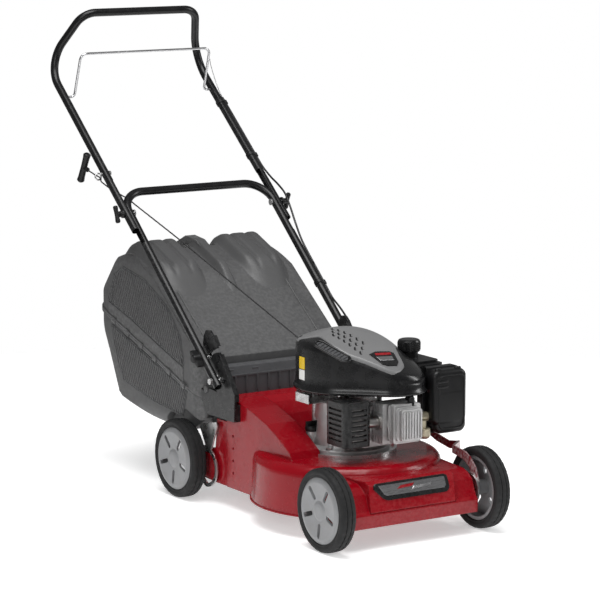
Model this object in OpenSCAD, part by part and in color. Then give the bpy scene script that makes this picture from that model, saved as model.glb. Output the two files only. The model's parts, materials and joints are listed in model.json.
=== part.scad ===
// Walk-behind petrol lawn mower with a pressed steel deck, a folding tube handle and a
// hard plastic grass box. Millimetres, +Z up. The front of the mower faces -Y and the
// handle leans back towards +Y. Left and right are the operator's, who stands behind the
// handle: right is -X, left is +X.
// Origin: on the ground, in the middle of the whole mower's box.

/* [Wheels] */
// Outside radius of the four tyres
wheel_r = 90; // [80:1:95]
// Width of a tyre
tyre_w = 37; // [30:1:40]
// Distance between the front and the rear wheel centres
wheelbase = 605; // [590:1:620]
// Distance from the centre plane to the middle of a tyre
track_half = 199.5; // [197:0.5:210]
// Radius of the hub cover that fills the tyre
hub_r = 71; // [60:1:74]

/* [Deck] */
// Outside radius of the round cutting chamber
bowl_r = 211; // [205:1:214]
// Height of the deck's lower lip above the ground
skirt_z = 48; // [40:1:55]
// Height of the flat platform that carries the engine
platform_z = 157; // [150:1:160]
// Height of the discharge tunnel at the back
tunnel_z = 256; // [245:1:262]
// Thickness of the pressed steel
sheet_t = 2.5; // [2:0.1:3]

/* [Cutting] */
// Length of the blade from tip to tip
blade_l = 394; // [380:1:398]
// Height of the blade above the ground
blade_z = 62; // [58:1:70]

/* [Handle] */
// Outside diameter of the handle tube
tube_d = 19; // [18:0.5:20]
// Wall of the handle tube
tube_t = 1.5; // [1.2:0.1:2]
// Distance from the centre plane to the upper handle's tubes
upper_x = 206; // [205:0.5:208]
// Distance from the centre plane to the lower handle's tubes
lower_x = 198; // [197:0.5:199]
// Diameter of the bail's wire
bail_d = 6; // [5:0.5:7]

/* [Grass box] */
// Outside width of the grass box
box_w = 380; // [360:2:384]
// Wall of the grass box
box_t = 2.5; // [2:0.5:3]

/* [Engine] */
// Radius of the round engine plate on the deck
plate_r = 110; // [105:1:112]
// Height of the underside of the blower shroud
shroud_z = 298; // [296:1:302]
// Height of the top of the engine
engine_top = 424; // [420:1:430]

/* [Hidden] */
$fn = 64;

// Y of the point midway between the axles, from the middle of the whole mower
base_y = -252.5;
front_y = -wheelbase / 2;
rear_y = wheelbase / 2;
// Vertical axis of the crankshaft and of the round chamber
crank_y = -80;

// Pivots of the handle, as [y, z]
fold_low = [150, 292];
clamp_low = [200, 336];
fold_mid = [529, 625];
tube_r = tube_d / 2;
// The two tubes are pressed flat where they meet, each side of this plane
mate_x = (upper_x + lower_x) / 2;

function unit(v) = v / norm(v);

// Moves the children from the frame between the axles to the mower's own frame
module at_base() translate([0, base_y, 0]) children();

// Places children with their +Z along dir and their +X along side
module aim(at, dir, side)
{
    z = unit(dir);
    y = unit(cross(z, side));
    x = cross(y, z);
    multmatrix([[x.x, y.x, z.x, at.x], [x.y, y.y, z.y, at.y], [x.z, y.z, z.z, at.z], [0, 0, 0, 1]])
        children();
}

// A cylinder whose axis runs along X, from x0 to x1, at [y, z]
module rod_x(x0, x1, yz, r) translate([x0, yz.x, yz.y]) rotate([0, 90, 0]) cylinder(h = x1 - x0, r = r);

// A flat outline drawn in the Y-Z plane, pushed from x0 to x1
module slab_x(x0, x1) translate([x0, 0, 0]) rotate([90, 0, 90]) linear_extrude(x1 - x0) children();

// A box given by its lowest and highest corners
module block(a, b) translate(a) cube(b - a);

// A box with its four vertical edges rounded
module soft_block(a, b, r)
    translate([0, 0, a.z])
        linear_extrude(b.z - a.z)
            soft_rect([a.x, a.y], [b.x, b.y], r);

// A rectangle with round corners, made of true arcs
module soft_rect(a, b, r)
{
    translate([a.x + r, a.y]) square([b.x - a.x - 2 * r, b.y - a.y]);
    translate([a.x, a.y + r]) square([b.x - a.x, b.y - a.y - 2 * r]);
    for (x = [a.x + r, b.x - r])
        for (y = [a.y + r, b.y - r])
            translate([x, y]) circle(r);
}

// A round bar that follows points p. Corner i is bent to radius bend[i]. The straights are
// thinner than the bends by a hair, and run a little way into them
lap = 0.5;
hair = 0.04;
module bent_bar(p, bend, r)
{
    n = len(p) - 1;
    d = [for (i = [0:n - 1]) unit(p[i + 1] - p[i])];
    // Length that each corner takes off its two legs
    cut = [for (i = [0:n]) i == 0 || i == n ? 0 : bend[i] * tan(acos(d[i - 1] * d[i]) / 2)];
    for (i = [0:n - 1])
    {
        a = p[i] + d[i] * (i == 0 ? 0 : cut[i] - lap);
        b = p[i + 1] - d[i] * (i == n - 1 ? 0 : cut[i + 1] - lap);
        aim(a, d[i], abs(d[i].z) > 0.9 ? [1, 0, 0] : [0, 0, 1]) cylinder(h = norm(b - a), r = r - hair);
    }
    for (i = [1:1:n - 1])
    {
        turn = acos(d[i - 1] * d[i]);
        centre = p[i] + unit(d[i] - d[i - 1]) * bend[i] / cos(turn / 2);
        start = p[i] - d[i - 1] * cut[i];
        aim(centre, cross(d[i - 1], d[i]), start - centre)
            rotate_extrude(angle = turn) translate([bend[i], 0]) circle(r);
    }
}

// A hollow tube along points p, open at both ends
module bent_tube(p, bend, r, wall)
{
    n = len(p) - 1;
    ends = [for (i = [0:n])
        p[i] + (i == 0 ? unit(p[0] - p[1]) : i == n ? unit(p[n] - p[n - 1]) : [0, 0, 0])];
    difference()
    {
        bent_bar(p, bend, r);
        bent_bar(ends, bend, r - wall);
    }
}

// A cable of radius r swept as one closed skin along points p
module cable(p, r, sides = 8)
{
    n = len(p) - 1;
    dir = [for (i = [0:n]) unit(p[min(i + 1, n)] - p[max(i - 1, 0)])];
    rings = [for (i = [0:n]) for (k = [0:sides - 1])
        let (u = unit(cross(dir[i], [1, 0.3, 0.2])), v = cross(dir[i], u), t = k * 360 / sides)
            p[i] + r * (u * cos(t) + v * sin(t))];
    skin = [for (i = [0:n - 1]) for (k = [0:sides - 1]) for (half = [0, 1])
        let (j = (k + 1) % sides, a = i * sides, b = a + sides)
            half == 0 ? [a + k, a + j, b + j] : [a + k, b + j, b + k]];
    lids = [[for (k = [sides - 1:-1:0]) k], [for (k = [0:sides - 1]) n * sides + k]];
    polyhedron(rings, concat(skin, lids));
}

// ---------------------------------------------------------------- deck and its trim

// Section of the round chamber, for rotate_extrude, with the sheet taken off by inset
module bowl_section(inset)
{
    r = bowl_r - inset;
    top = platform_z - inset;
    round_r = 24 - inset;
    polygon(concat(
        [[0, skirt_z - (inset > 0 ? 2 : 0)], [r, skirt_z - (inset > 0 ? 2 : 0)], [r - 2, 90]],
        [for (t = [0:15:90]) [r - 4 - round_r + round_r * cos(t), top - round_r + round_r * sin(t)]],
        [[0, top]]));
}

// Side view of the discharge tunnel: it climbs from the platform to the back of the deck
module ramp_outline(inset)
    polygon([
        [-120, skirt_z + 40], [-128, platform_z - 12 - inset], [-108, 172 - inset],
        [-61, 198 - inset], [-16, 219 - inset], [60, 241 - inset], [118, tunnel_z - 3 - inset],
        [150 - inset, tunnel_z - inset], [150 - inset, skirt_z + 40]]);

// Side view of the tunnel's full-width back part
module rear_outline(inset)
    polygon([
        [20, skirt_z], [20, platform_z - inset], [52 + inset, platform_z - inset],
        [78 + inset, 215 - inset], [98 + inset, 240 - inset], [118, tunnel_z - 4 - inset],
        [150 + (inset > 0 ? 3 : 0), tunnel_z - inset], [150 + (inset > 0 ? 3 : 0), skirt_z]]);

// Side view of the nose panel in front of the chamber
module nose_outline(inset)
    polygon([
        [-345 + inset, skirt_z - (inset > 0 ? 2 : 0)], [-347 + inset, 76],
        [-339 + inset, 84], [-324 + inset, 118 - inset], [-309 + inset, 129 - inset],
        [-292 + inset, 135 - inset], [-200, 140 - inset], [-200, skirt_z - (inset > 0 ? 2 : 0)]]);

// Side view of the raised middle of the nose, which carries the badge
module crown_outline(inset)
    polygon([
        [-346 + inset, 80], [-335 + inset, 138 - inset], [-322, 143 - inset], [-292, 141 - inset],
        [-230, 140 - inset], [-230, 90], [-300, 80]]);

// Everything that the sheet steel encloses, shrunk by inset for the inside
module deck_body(inset)
{
    open_by = inset > 0 ? 3 : 0;
    bowl(inset);
    slab_x(-168 + inset, -92 - inset) ramp_outline(inset);
    slab_x(-168 + inset, 168 - inset) rear_outline(inset);
    difference()
    {
        union()
        {
            slab_x(-162 + inset, 162 - inset) nose_outline(inset);
            slab_x(-116 + inset, 104 - inset) crown_outline(inset);
        }
        // the chamber keeps its own wall inside the nose
        if (inset > 0) bowl(0);
    }
    // lower side walls between the chamber and the rear wheels
    block([-ear_x + inset, -40, skirt_z - open_by], [ear_x - inset, 206 + open_by, 118 - inset]);
}

module bowl(inset) translate([0, crank_y, 0]) rotate_extrude($fn = 128) bowl_section(inset);

// The side ears that carry the rear axle, inside the tunnel's side walls
ear_x = 168 - sheet_t;
module rear_ears()
    for (s = [0, 1]) mirror([s, 0, 0])
        slab_x(ear_x - sheet_t, ear_x)
            polygon([[100, skirt_z], [200, skirt_z], [300, 52], [322, 60], [322, 88], [300, 108],
                [204, 128],
                [196, 196], [100, 196]]);

axle_pivot_front = [front_y + 3, 66];
axle_pivot_rear = [rear_y + 3, 66];

module deck() color([0.62, 0.02, 0.05]) at_base()
{
    difference()
    {
        union()
        {
            difference()
            {
                deck_body(0);
                deck_body(sheet_t);
            }
            rear_ears();
            // rolled lip round the chamber
            translate([0, crank_y, 0]) rotate_extrude($fn = 128)
                translate([bowl_r - sheet_t, skirt_z]) square([5, 3]);
        }
        // inside of the lip, nose and tunnel stay open to each other
        translate([0, crank_y, skirt_z - 1]) cylinder(h = 20, r = bowl_r - sheet_t, $fn = 128);
        block([-162, 100, skirt_z - 1], [162, 215, 115]);
        // hole for the crankshaft and the engine's three bolts
        translate([0, crank_y, platform_z - 10]) cylinder(h = 20, r = 32);
        for (a = [90:120:330])
            translate([0, crank_y, platform_z - 10]) rotate(a) translate([84, 0, 0])
                cylinder(h = 20, r = 4.2);
        // axle holes
        rod_x(-200, 200, axle_pivot_front, 5.15);
        rod_x(-200, 200, axle_pivot_rear, 5.15);
        // row of adjustment holes in the right side
        for (z = [84, 112, 140, 168])
            rod_x(-175, -150, [124, z], 3);
    }
}

module nose_badge() color([0.32, 0.33, 0.34]) at_base()
    aim([-7, -346 + 7.7, 80 + 41], [0, -0.9825, 0.1863], [1, 0, 0]) linear_extrude(1.6)
        soft_rect([-94, -17], [94, 17], 6);

// ---------------------------------------------------------------- brackets and flap

// Side view of the black bracket that holds one leg of the handle
module bracket_outline()
{
    polygon([
        [92, 206], [90, 268], [184, 388], [196, 397], [212, 396], [221, 384], [228, 348], [212, 318],
        [176, 284], [158, 252], [152, 206]]);
}

// Bracket for the left side; the right one is its mirror image
module handle_bracket() difference()
{
    union()
    {
        slab_x(178.5, 184.5) bracket_outline();
        // stiffening flange down the front edge
        slab_x(172.5, 184.5) polygon([[90, 252], [90, 268], [184, 388], [190, 380], [98, 262], [98, 252]]);
        // foot that is bolted to the side of the tunnel
        slab_x(168, 178.5) polygon([[92, 206], [92, 244], [146, 244], [146, 206]]);
        // cradle for the grass box's lug
        slab_x(178.5, 184.5)
            polygon([[150, 206], [150, 262], [192, 266], [232, 266], [234, 261], [234, 238], [212, 206]]);
    }
    rod_x(160, 200, fold_low, 4.05);
    rod_x(160, 200, flap_pivot, 3.05);
    // notch, leaning back, that the lug drops into
    rod_x(160, 200, lug, lug_r + 0.4);
    translate([170, lug.x, lug.y]) rotate([-70, 0, 0]) translate([0, -lug_r - 0.3, 0])
        cube([30, 2 * lug_r + 0.6, 60]);
    // arc slot, open at the front, that the clamp bolt leaves as the handle folds
    translate([0, fold_low.x, fold_low.y]) rotate([90, 0, 90]) rotate(37)
        clamp_slot(160, 4.6);
    translate([0, fold_low.x, fold_low.y]) rotate([90, 0, 90]) rotate(34) translate([0, 0, -21.6])
        clamp_slot(160, 9);
}

// Slot of half-width w, centred on the bottom pivot, with its depth starting at x0
module clamp_slot(x0, w)
{
    r = norm(clamp_low - fold_low);
    translate([0, 0, x0]) linear_extrude(40) difference()
    {
        pie(r + w, 90);
        circle(r - w);
    }
}

// A sector of a disc, from 0 to angle degrees
module pie(r, angle)
    intersection()
    {
        circle(r);
        polygon(concat([[0, 0]], [for (i = [0:4]) 2 * r * [cos(angle * i / 4), sin(angle * i / 4)]]));
    }

module handle_bracket_right() color([0.07, 0.07, 0.08]) at_base() mirror([1, 0, 0]) handle_bracket();
module handle_bracket_left() color([0.07, 0.07, 0.08]) at_base() handle_bracket();

flap_pivot = [163, 300];
// Round lug on each side of the grass box, as [y, z], and its radius
lug = [212, 262];
lug_r = 8.5;

// Side view of the flap: a front apron, a hinge corner and a lid over the grass box's neck
module flap_outline()
    polygon([
        [151, 253], [151, 300], [156, 318], [164, 322], [221, 312], [221, 309], [165, 318.6],
            [158.6, 315.6],
        [154, 299], [154, 253]]);

module rear_flap() color([0.2, 0.2, 0.21]) at_base() difference()
{
    union()
    {
        slab_x(-163, 163) flap_outline();
        // ribs that join the skin to the hinge barrels
        for (x = [-155, -90, 90, 155])
        {
            slab_x(x - 8, x + 8) polygon([[153, 280], [153, 312], [170, 318], [200, 314], [170, 292],
                [156, 276]]);
            rod_x(x - 8, x + 8, flap_pivot, 7);
        }
        for (x = [-145:29:145]) slab_x(x - 1.5, x + 1.5)
            polygon([[148.5, 262], [152, 256], [152, 300], [148.5, 296]]);
        block([-163, 149, 296], [163, 154, 300]);
    }
    rod_x(-170, 170, flap_pivot, 3.05);
}

module flap_rod() color([0.75, 0.76, 0.78]) at_base() rod_x(-184.5, 184.5, flap_pivot, 3);

// Torsion spring: seven turns round the rod, and a leg that presses on the flap's lid
module flap_spring() color([0.7, 0.71, 0.73]) at_base()
    cable(concat(
        [for (i = [0:62]) [-36 + i * 0.27, flap_pivot.x + 4.9 * cos(i * 36),
            flap_pivot.y + 4.9 * sin(i * 36)]],
        [[-19, 161, 306.2], [-19, 158.6, 307.2]]), 1, 6);

// ---------------------------------------------------------------- axles and wheels

stub_x1 = track_half + 14;

// A cranked axle: one rod through the deck, a disc at each end, and a stub for each wheel
module crank_axle(pivot, wheel)
{
    rod_x(-168, 168, pivot, 5.1);
    for (s = [-1, 1])
    {
        rod_x(min(s * 168, s * 172), max(s * 168, s * 172), wheel, 37);
        rod_x(min(s * 171, s * stub_x1), max(s * 171, s * stub_x1), wheel, 6);
    }
}

module front_axle() color([0.75, 0.76, 0.78]) at_base() crank_axle(axle_pivot_front, [front_y, wheel_r]);
module rear_axle() color([0.75, 0.76, 0.78]) at_base() crank_axle(axle_pivot_rear, [rear_y, wheel_r]);

// Flat lever on the left front crank, arching back over the deck's edge to the hand grip
module front_height_lever() color([0.45, 0.03, 0.06]) at_base() difference()
{
    union()
    {
        slab_x(172, 175.5) polygon([
            [-316, 88], [-333, 112], [-322, 140], [-300, 160], [-284, 168], [-236, 174], [-236, 157],
            [-280, 149], [-300, 136], [-308, 118], [-288, 88]]);
        // joggle outwards, past the air filter, and the hand end
        translate([0, 0, 157]) linear_extrude(17)
            polygon([[172, -242], [175.5, -242], [212.5, -210], [212.5, -205], [209, -205], [172, -237]]);
        slab_x(209, 212.5) polygon([
            [-209, 174], [-170, 168], [-126, 176], [-92, 188], [-86, 172], [-126, 159], [-176, 151],
                [-209, 157]]);
        rod_x(172, 175.5, [front_y, wheel_r], 24);
    }
    rod_x(160, 180, [front_y, wheel_r], 6.3);
}

// Flat lever and curved strap on the right rear crank
module rear_height_lever() color([0.72, 0.73, 0.75]) at_base() difference()
{
    union()
    {
        slab_x(-175.5, -172) polygon([
            [184, 190], [250, 176], [256, 168], [232, 130], [238, 128], [300, 112], [300, 96], [228, 115],
            [206, 124], [180, 182]]);
        difference()
        {
            rod_x(-175.5, -172, [228, 80], 46);
            rod_x(-180, -170, [228, 80], 37);
            block([-180, 232, 0], [-170, 300, 140]);
        }
        slab_x(-175.5, -172) polygon([[226, 34], [226, 43], [286, 84], [296, 74], [236, 36]]);
        rod_x(-175.5, -172, [rear_y, wheel_r], 24);
    }
    rod_x(-180, -165, [rear_y, wheel_r], 6.3);
}

// Tyre section, with a flat tread and round shoulders, turned about the wheel's axis
module tyre(x, y)
    translate([x, y, wheel_r]) rotate([0, 90, 0]) difference()
    {
        rotate_extrude($fn = 96) difference()
        {
            polygon([
                [hub_r, -tyre_w / 2 + 2], [wheel_r - 8, -tyre_w / 2], [wheel_r - 2.5, -tyre_w / 2 + 4],
                [wheel_r, -tyre_w / 2 + 10], [wheel_r, tyre_w / 2 - 10], [wheel_r - 2.5, tyre_w / 2 - 4],
                [wheel_r - 8, tyre_w / 2], [hub_r, tyre_w / 2 - 2]]);
            for (z = [-6, 6]) translate([wheel_r - 2, z - 1.2]) square([4, 2.4]);
        }
    }

module tyre_front_right() color([0.08, 0.08, 0.09]) at_base() tyre(-track_half, front_y);
module tyre_front_left() color([0.08, 0.08, 0.09]) at_base() tyre(track_half, front_y);
module tyre_rear_right() color([0.08, 0.08, 0.09]) at_base() tyre(-track_half, rear_y);
module tyre_rear_left() color([0.08, 0.08, 0.09]) at_base() tyre(track_half, rear_y);

// Hub with a dished cover, five slots, and a bore for the stub. Drawn with +Z outwards
module hub_shape()
    difference()
    {
        rotate_extrude($fn = 96) polygon([
            [0, -15], [16, -15], [16, 13], [hub_r - 8, 13], [hub_r - 8, -14], [hub_r, -14], [hub_r, 16],
            [hub_r - 5, tyre_w / 2 + 1.5], [hub_r - 10, tyre_w / 2 + 2.6], [22, tyre_w / 2 - 1],
                [16, tyre_w / 2 + 1.5],
            [9, tyre_w / 2 + 2.6], [0, tyre_w / 2 + 2.6]]);
        for (a = [0:72:288])
            rotate(a) translate([0, 0, 5]) linear_extrude(20)
            {
                translate([32, 0]) circle(5);
                translate([54, 0]) circle(5);
                translate([32, -5]) square([22, 10]);
            }
        translate([0, 0, -16]) cylinder(h = 31, r = 6.05);
    }

module hub(s, y) translate([s * track_half, y, wheel_r]) rotate([0, s * 90, 0]) rotate(36) hub_shape();

module hub_front_right() color([0.6, 0.61, 0.63]) at_base() hub(-1, front_y);
module hub_front_left() color([0.6, 0.61, 0.63]) at_base() hub(1, front_y);
module hub_rear_right() color([0.6, 0.61, 0.63]) at_base() hub(-1, rear_y);
module hub_rear_left() color([0.6, 0.61, 0.63]) at_base() hub(1, rear_y);

// ---------------------------------------------------------------- engine

module on_crank() translate([0, crank_y, 0]) children();

module engine_plate() color([0.75, 0.76, 0.78]) at_base() difference()
{
    on_crank() rotate_extrude($fn = 128) polygon([
        [34, platform_z], [plate_r, platform_z], [plate_r, platform_z + 8], [plate_r - 6, platform_z + 8],
        [plate_r - 10, platform_z + 3], [34, platform_z + 3]]);
    for (a = [90:120:330]) on_crank() rotate(a) translate([84, 0, platform_z - 1]) cylinder(h = 6, r = 4.2);
    // the side of the plate is cut away beside the deck's ramp
    block([-130, -121.5, platform_z - 1], [-91.6, 40, platform_z + 20]);
}

case_z0 = platform_z + 3;

module crankcase() color([0.66, 0.67, 0.68]) at_base() difference()
{
    union()
    {
        on_crank() rotate_extrude($fn = 96) polygon([
            [0, case_z0], [94, case_z0], [94, case_z0 + 10], [80, case_z0 + 16], [74, case_z0 + 60],
            [66, 268], [0, 268]]);
        // housing that carries the cylinder
        block([-30, -190, case_z0 + 22], [72, -100, 262]);
        // boss for the oil filler
        translate([-76, -56, case_z0]) cylinder(h = 42, r = 13);
        // posts for the blower shroud
        for (a = [45, 135, 225, 315]) on_crank() rotate(a) translate([72, 0, 200])
            cylinder(h = shroud_z - 200, r = 6);
    }
    on_crank() translate([0, 0, case_z0 - 1]) cylinder(h = 120, r = 13.05);
    on_crank() translate([0, 0, case_z0 + 14]) cylinder(h = 70, r = 52);
    for (a = [90:120:330]) on_crank() rotate(a) translate([84, 0, case_z0 - 1]) cylinder(h = 12, r = 4.2);
    translate([-76, -56, case_z0 + 6]) cylinder(h = 60, r = 9.05);
    // flange cut away beside the deck's ramp
    block([-130, -121.5, case_z0 - 1], [-91.6, 40, case_z0 + 20]);
    // room for the dipstick's cap and for the three nuts
    translate([-76, -56, case_z0 + 42]) cylinder(h = 30, r = 16.5);
    for (a = [90:120:330]) on_crank() rotate(a) translate([84, 0, case_z0 + 10]) cylinder(h = 30, r = 8.5);
}

// X of the cylinder's centre line, and the front faces of the cylinder and its head
cyl_x = 36;
cyl_z = 236;

module cylinder_block() color([0.62, 0.63, 0.64]) at_base() difference()
{
    union()
    {
        translate([cyl_x, -190, cyl_z]) rotate([90, 0, 0]) cylinder(h = 44, r = 31);
        for (i = [0:6]) block([-8, -194.5 - i * 6, 194], [78, -192 - i * 6, 282]);
        block([-8, -231, 212], [0, -192, 262]);
        block([70, -231, 212], [78, -192, 262]);
    }
    translate([cyl_x, -189.5, cyl_z]) rotate([90, 0, 0]) cylinder(h = 60, r = 24);
}

module cylinder_head() color([0.62, 0.63, 0.64]) at_base() difference()
{
    union()
    {
        soft_box_y([4, -240, 200], [70, -234, 281], 6);
        soft_box_y([9, -262, 205], [65, -240, 276], 6);
        for (i = [0:2]) soft_box_y([2, -245.5 - i * 6, 198], [72, -243 - i * 6, 283], 6);
    }
    // seat of the spark plug
    translate([52, -250, 275]) cylinder(h = 20, r = 8);
}

// A box with its four edges along Y rounded
module soft_box_y(a, b, r)
    translate([0, b.y, 0]) rotate([90, 0, 0]) linear_extrude(b.y - a.y)
        soft_rect([a.x, a.z], [b.x, b.z], r);

module valve_cover() color([0.66, 0.67, 0.68]) at_base()
{
    soft_box_y([7, -264.5, 203], [67, -262, 278], 8);
    soft_box_y([10, -276, 206], [64, -264.5, 275], 8);
    for (i = [0:6]) block([13.5 + i * 7.2, -280, 211], [17 + i * 7.2, -276, 270]);
}

module spark_plug() color([0.1, 0.1, 0.11]) at_base()
{
    translate([52, -250, 275.02]) cylinder(h = 8, r = 7, $fn = 6);
    translate([52, -250, 280]) cylinder(h = 10, r = 4.5);
    translate([52, -250, 284.5]) rotate_extrude()
        polygon([[0, 0], [7.8, 0], [7.8, 9], [6, 12.4], [0, 12.4]]);
    translate([52, -250, 290.4]) rotate([-90, 0, 0]) cylinder(h = 16, r = 4.4);
}

module muffler() color([0.42, 0.4, 0.38]) at_base()
{
    soft_block([-99, -229, 206], [-44, -156, 286], 12);
    // pipe from the exhaust port
    rod_x(-46, -8, [-212, 240], 10);
    rod_x(-12, -8, [-212, 240], 16);
}

module muffler_guard() color([0.3, 0.3, 0.31]) at_base()
{
    guard_shell();
    // standoffs that are screwed to the muffler
    for (p = [[-84, 219], [-56, 274]])
        translate([p.x, -229, p.y]) rotate([90, 0, 0]) cylinder(h = 5, r = 4);
}

module guard_shell() difference()
{
    soft_block([-105, -235, 196], [-37, -149, 292], 16);
    soft_block([-103.4, -233.4, 190], [-38.6, -150.6, 290.4], 14.4);
    // louvres in the front, the side and the top
    for (i = [0:6]) block([-90, -240, 208 + i * 11], [-52, -230, 212 + i * 11]);
    for (i = [0:6]) block([-110, -216, 208 + i * 11], [-100, -168, 212 + i * 11]);
    for (i = [0:4]) block([-90, -218 + i * 12, 285], [-52, -213 + i * 12, 300]);
    // the exhaust pipe passes through the side
    rod_x(-45, -30, [-212, 240], 17);
}

module carburettor() color([0.72, 0.7, 0.62]) at_base()
{
    rod_x(78, 82, [-214, 240], 15);
    rod_x(82, 118, [-214, 240], 11);
    translate([102, -222, 217]) cylinder(h = 18, r = 9);
    translate([104, -226, 195]) rotate_extrude()
        polygon([[0, 0], [9, 0], [12, 3], [13.5, 6], [13.5, 22], [0, 22]]);
}

// Front view of the air filter's housing, with room at its lower inner corner for the carburettor
module filter_front()
{
    soft_rect([124, 200], [208, 300], 10);
    soft_rect([110, 222], [208, 345], 12);
}

module air_filter_box() color([0.09, 0.09, 0.1]) at_base() difference()
{
    translate([0, -190, 0]) rotate([90, 0, 0]) linear_extrude(20) filter_front();
    // the housing is hollow and open towards the cover
    block([131, -222, 214], [204, -193, 330]);
    rod_x(100, 135, [-214, 240], 11.05);
    shroud_column(290, 80, 4.2);
}

module air_filter_cover() color([0.1, 0.1, 0.11]) at_base()
{
    difference()
    {
        translate([0, -210, 0]) rotate([90, 0, 0]) linear_extrude(30)
        {
            soft_rect([124, 202], [206, 300], 10);
            soft_rect([118, 222], [206, 343], 12);
        }
        block([128, -236, 216], [202, -209, 326]);
        rod_x(100, 122, [-214, 240], 11.2);
        translate([104, -226, 190]) cylinder(h = 40, r = 14.5);
        shroud_column(290, 80, 4.2);
        // seam lines
        for (z = [248, 298]) block([100, -242, z], [220, -238.6, z + 2]);
    }
    // latches
    for (x = [138, 186]) block([x - 7, -243, 326], [x + 7, -214, 347]);
}

// Column over the blower shroud's plan, grown by g: two round ends and their common tangents
shroud_a = [0, -80];
shroud_b = [50, -175];
shroud_ra = 112;
shroud_rb = 75;
module shroud_column(z, h, g) translate([0, 0, z])
{
    d = shroud_b - shroud_a;
    lean = atan2(d.y, d.x);
    open = acos((shroud_ra - shroud_rb) / norm(d));
    ua = [cos(lean + open), sin(lean + open)];
    ub = [cos(lean - open), sin(lean - open)];
    translate(shroud_a) cylinder(h = h, r = shroud_ra + g, $fn = 128);
    translate(shroud_b) cylinder(h = h, r = shroud_rb + g, $fn = 128);
    // the flat sides stand a hair inside the tangent planes of the two round ends
    ga = shroud_ra + g - 0.08;
    gb = shroud_rb + g - 0.08;
    linear_extrude(h) polygon([
        shroud_a + ga * ua, shroud_b + gb * ua, shroud_b + gb * ub, shroud_a + ga * ub]);
}

// Everything below the sloping plane that passes through [y, z] and rises by slope towards +Y
module below(yz, slope)
    slab_x(-300, 300) polygon([
        [-400, 0], [200, 0], [200, yz.y + (200 - yz.x) * slope], [-400, yz.y + (-400 - yz.x) * slope]]);

rim = [20, 404];
rim_slope = 0.216;

// The starter rope's straight run, from the engine to the guide near the crossbar
rope_a = [-86, -44, 395];
rope_b = [-172, 583, 654];

module rope_hole() aim(rope_a, rope_b - rope_a, [1, 0, 0]) cylinder(h = 90, r = 5);

module fuel_tank() color([0.09, 0.09, 0.1]) at_base() difference()
{
    union()
    {
        soft_block([96, -172, 302], [197, -50, 344], 16);
        soft_block([104, -164, 300], [189, -58, 351], 12);
        translate([144, -110, 344]) cylinder(h = 32, r = 20);
    }
    soft_block([132, -160, 306], [185, -62, 340], 8);
    translate([144, -110, 330]) cylinder(h = 60, r = 16);
    shroud_column(290, 80, 4.2);
}

module fuel_cap() color([0.15, 0.15, 0.16]) at_base() translate([144, -110, 0]) difference()
{
    union()
    {
        translate([0, 0, 366]) rotate_extrude($fn = 96)
            polygon([[0, 0], [23.8, 0], [25, 2], [25, 22], [23, 25.5], [19.5, 27], [0, 27]]);
        for (a = [0:12:348]) rotate(a) translate([24.5, -1, 370]) cube([1.2, 2, 16]);
    }
    translate([0, 0, 360]) cylinder(h = 28, r = 20.05);
}

module blower_shroud() color([0.06, 0.06, 0.07]) at_base() shroud_with_tabs();

module shroud_shell() difference()
{
    union()
    {
        intersection()
        {
            shroud_column(shroud_z, 130, 0);
            below(rim, rim_slope);
        }
        shroud_column(shroud_z, 7, 3);
    }
    intersection()
    {
        shroud_column(shroud_z + 3, 130, -2.5);
        below(rim - [0, 3], rim_slope);
    }
    shroud_column(shroud_z - 5, 160, -12);
    // grille in the right side
    for (a = [176:5:226])
        translate([0, crank_y, 0]) rotate(a) translate([105, -1.6, 318]) cube([14, 3.2, 30]);
    rope_hole();
}

// The shroud with the four tabs that sit on the crankcase's posts
module shroud_with_tabs()
{
    shroud_shell();
    for (a = [45:90:315]) on_crank() rotate(a) translate([64, -9, shroud_z])
        cube([a == 315 ? 98 : 44, 18, 3.6]);
}

// Outside of the cover, shrunk by inset: a shallow cone with a sloping flat front
module cover_form(inset) intersection()
{
    shroud_column(300, 140, -3 - inset);
    on_crank() translate([0, 0, -inset]) rotate_extrude($fn = 128)
        polygon([[0, 310], [190, 310], [190, 352], [112, 402], [30, engine_top], [0, engine_top]]);
    below([-110, 419 - inset], 0.495);
}

module shroud_cover() color([0.36, 0.37, 0.38]) at_base() difference()
{
    cover_form(0);
    below(rim, rim_slope);
    cover_form(2.5);
    // air slots round the middle
    for (a = [-12:12:192])
        translate([0, crank_y, 0]) rotate(a) translate([38, -1.6, 380]) cube([30, 3.2, 60]);
    rope_hole();
}

module cover_badge() color([0.55, 0.56, 0.57]) at_base()
    aim([34, -176, 386.33], [0, -0.4436, 0.8962], [1, 0, 0]) linear_extrude(1.4)
        soft_rect([-40, -20], [40, 20], 8);

module flywheel() color([0.6, 0.6, 0.62]) at_base() on_crank() difference()
{
    union()
    {
        translate([0, 0, 302]) cylinder(h = 14, r = 86);
        translate([0, 0, 316]) cylinder(h = 12, r = 30);
        for (a = [0:18:342]) rotate(a) translate([50, -1.5, 314]) cube([34, 3, 24]);
    }
    translate([0, 0, 290]) cylinder(h = 60, r = 10);
}

module crankshaft() color([0.7, 0.7, 0.72]) at_base() on_crank() rotate_extrude()
    polygon([
        [0, 68], [13, 68], [13, 200], [34, 200], [34, 214], [13, 214], [13, 296], [10, 302], [10, 366],
            [8, 368],
        [0, 368]]);

module starter_pulley() color([0.25, 0.25, 0.26]) at_base() on_crank() difference()
{
    rotate_extrude() polygon([[0, 340], [42, 340], [42, 344], [34, 347], [34, 355], [42, 358],
        [42, 362], [0, 362]]);
    translate([0, 0, 330]) cylinder(h = 50, r = 10);
}

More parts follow.
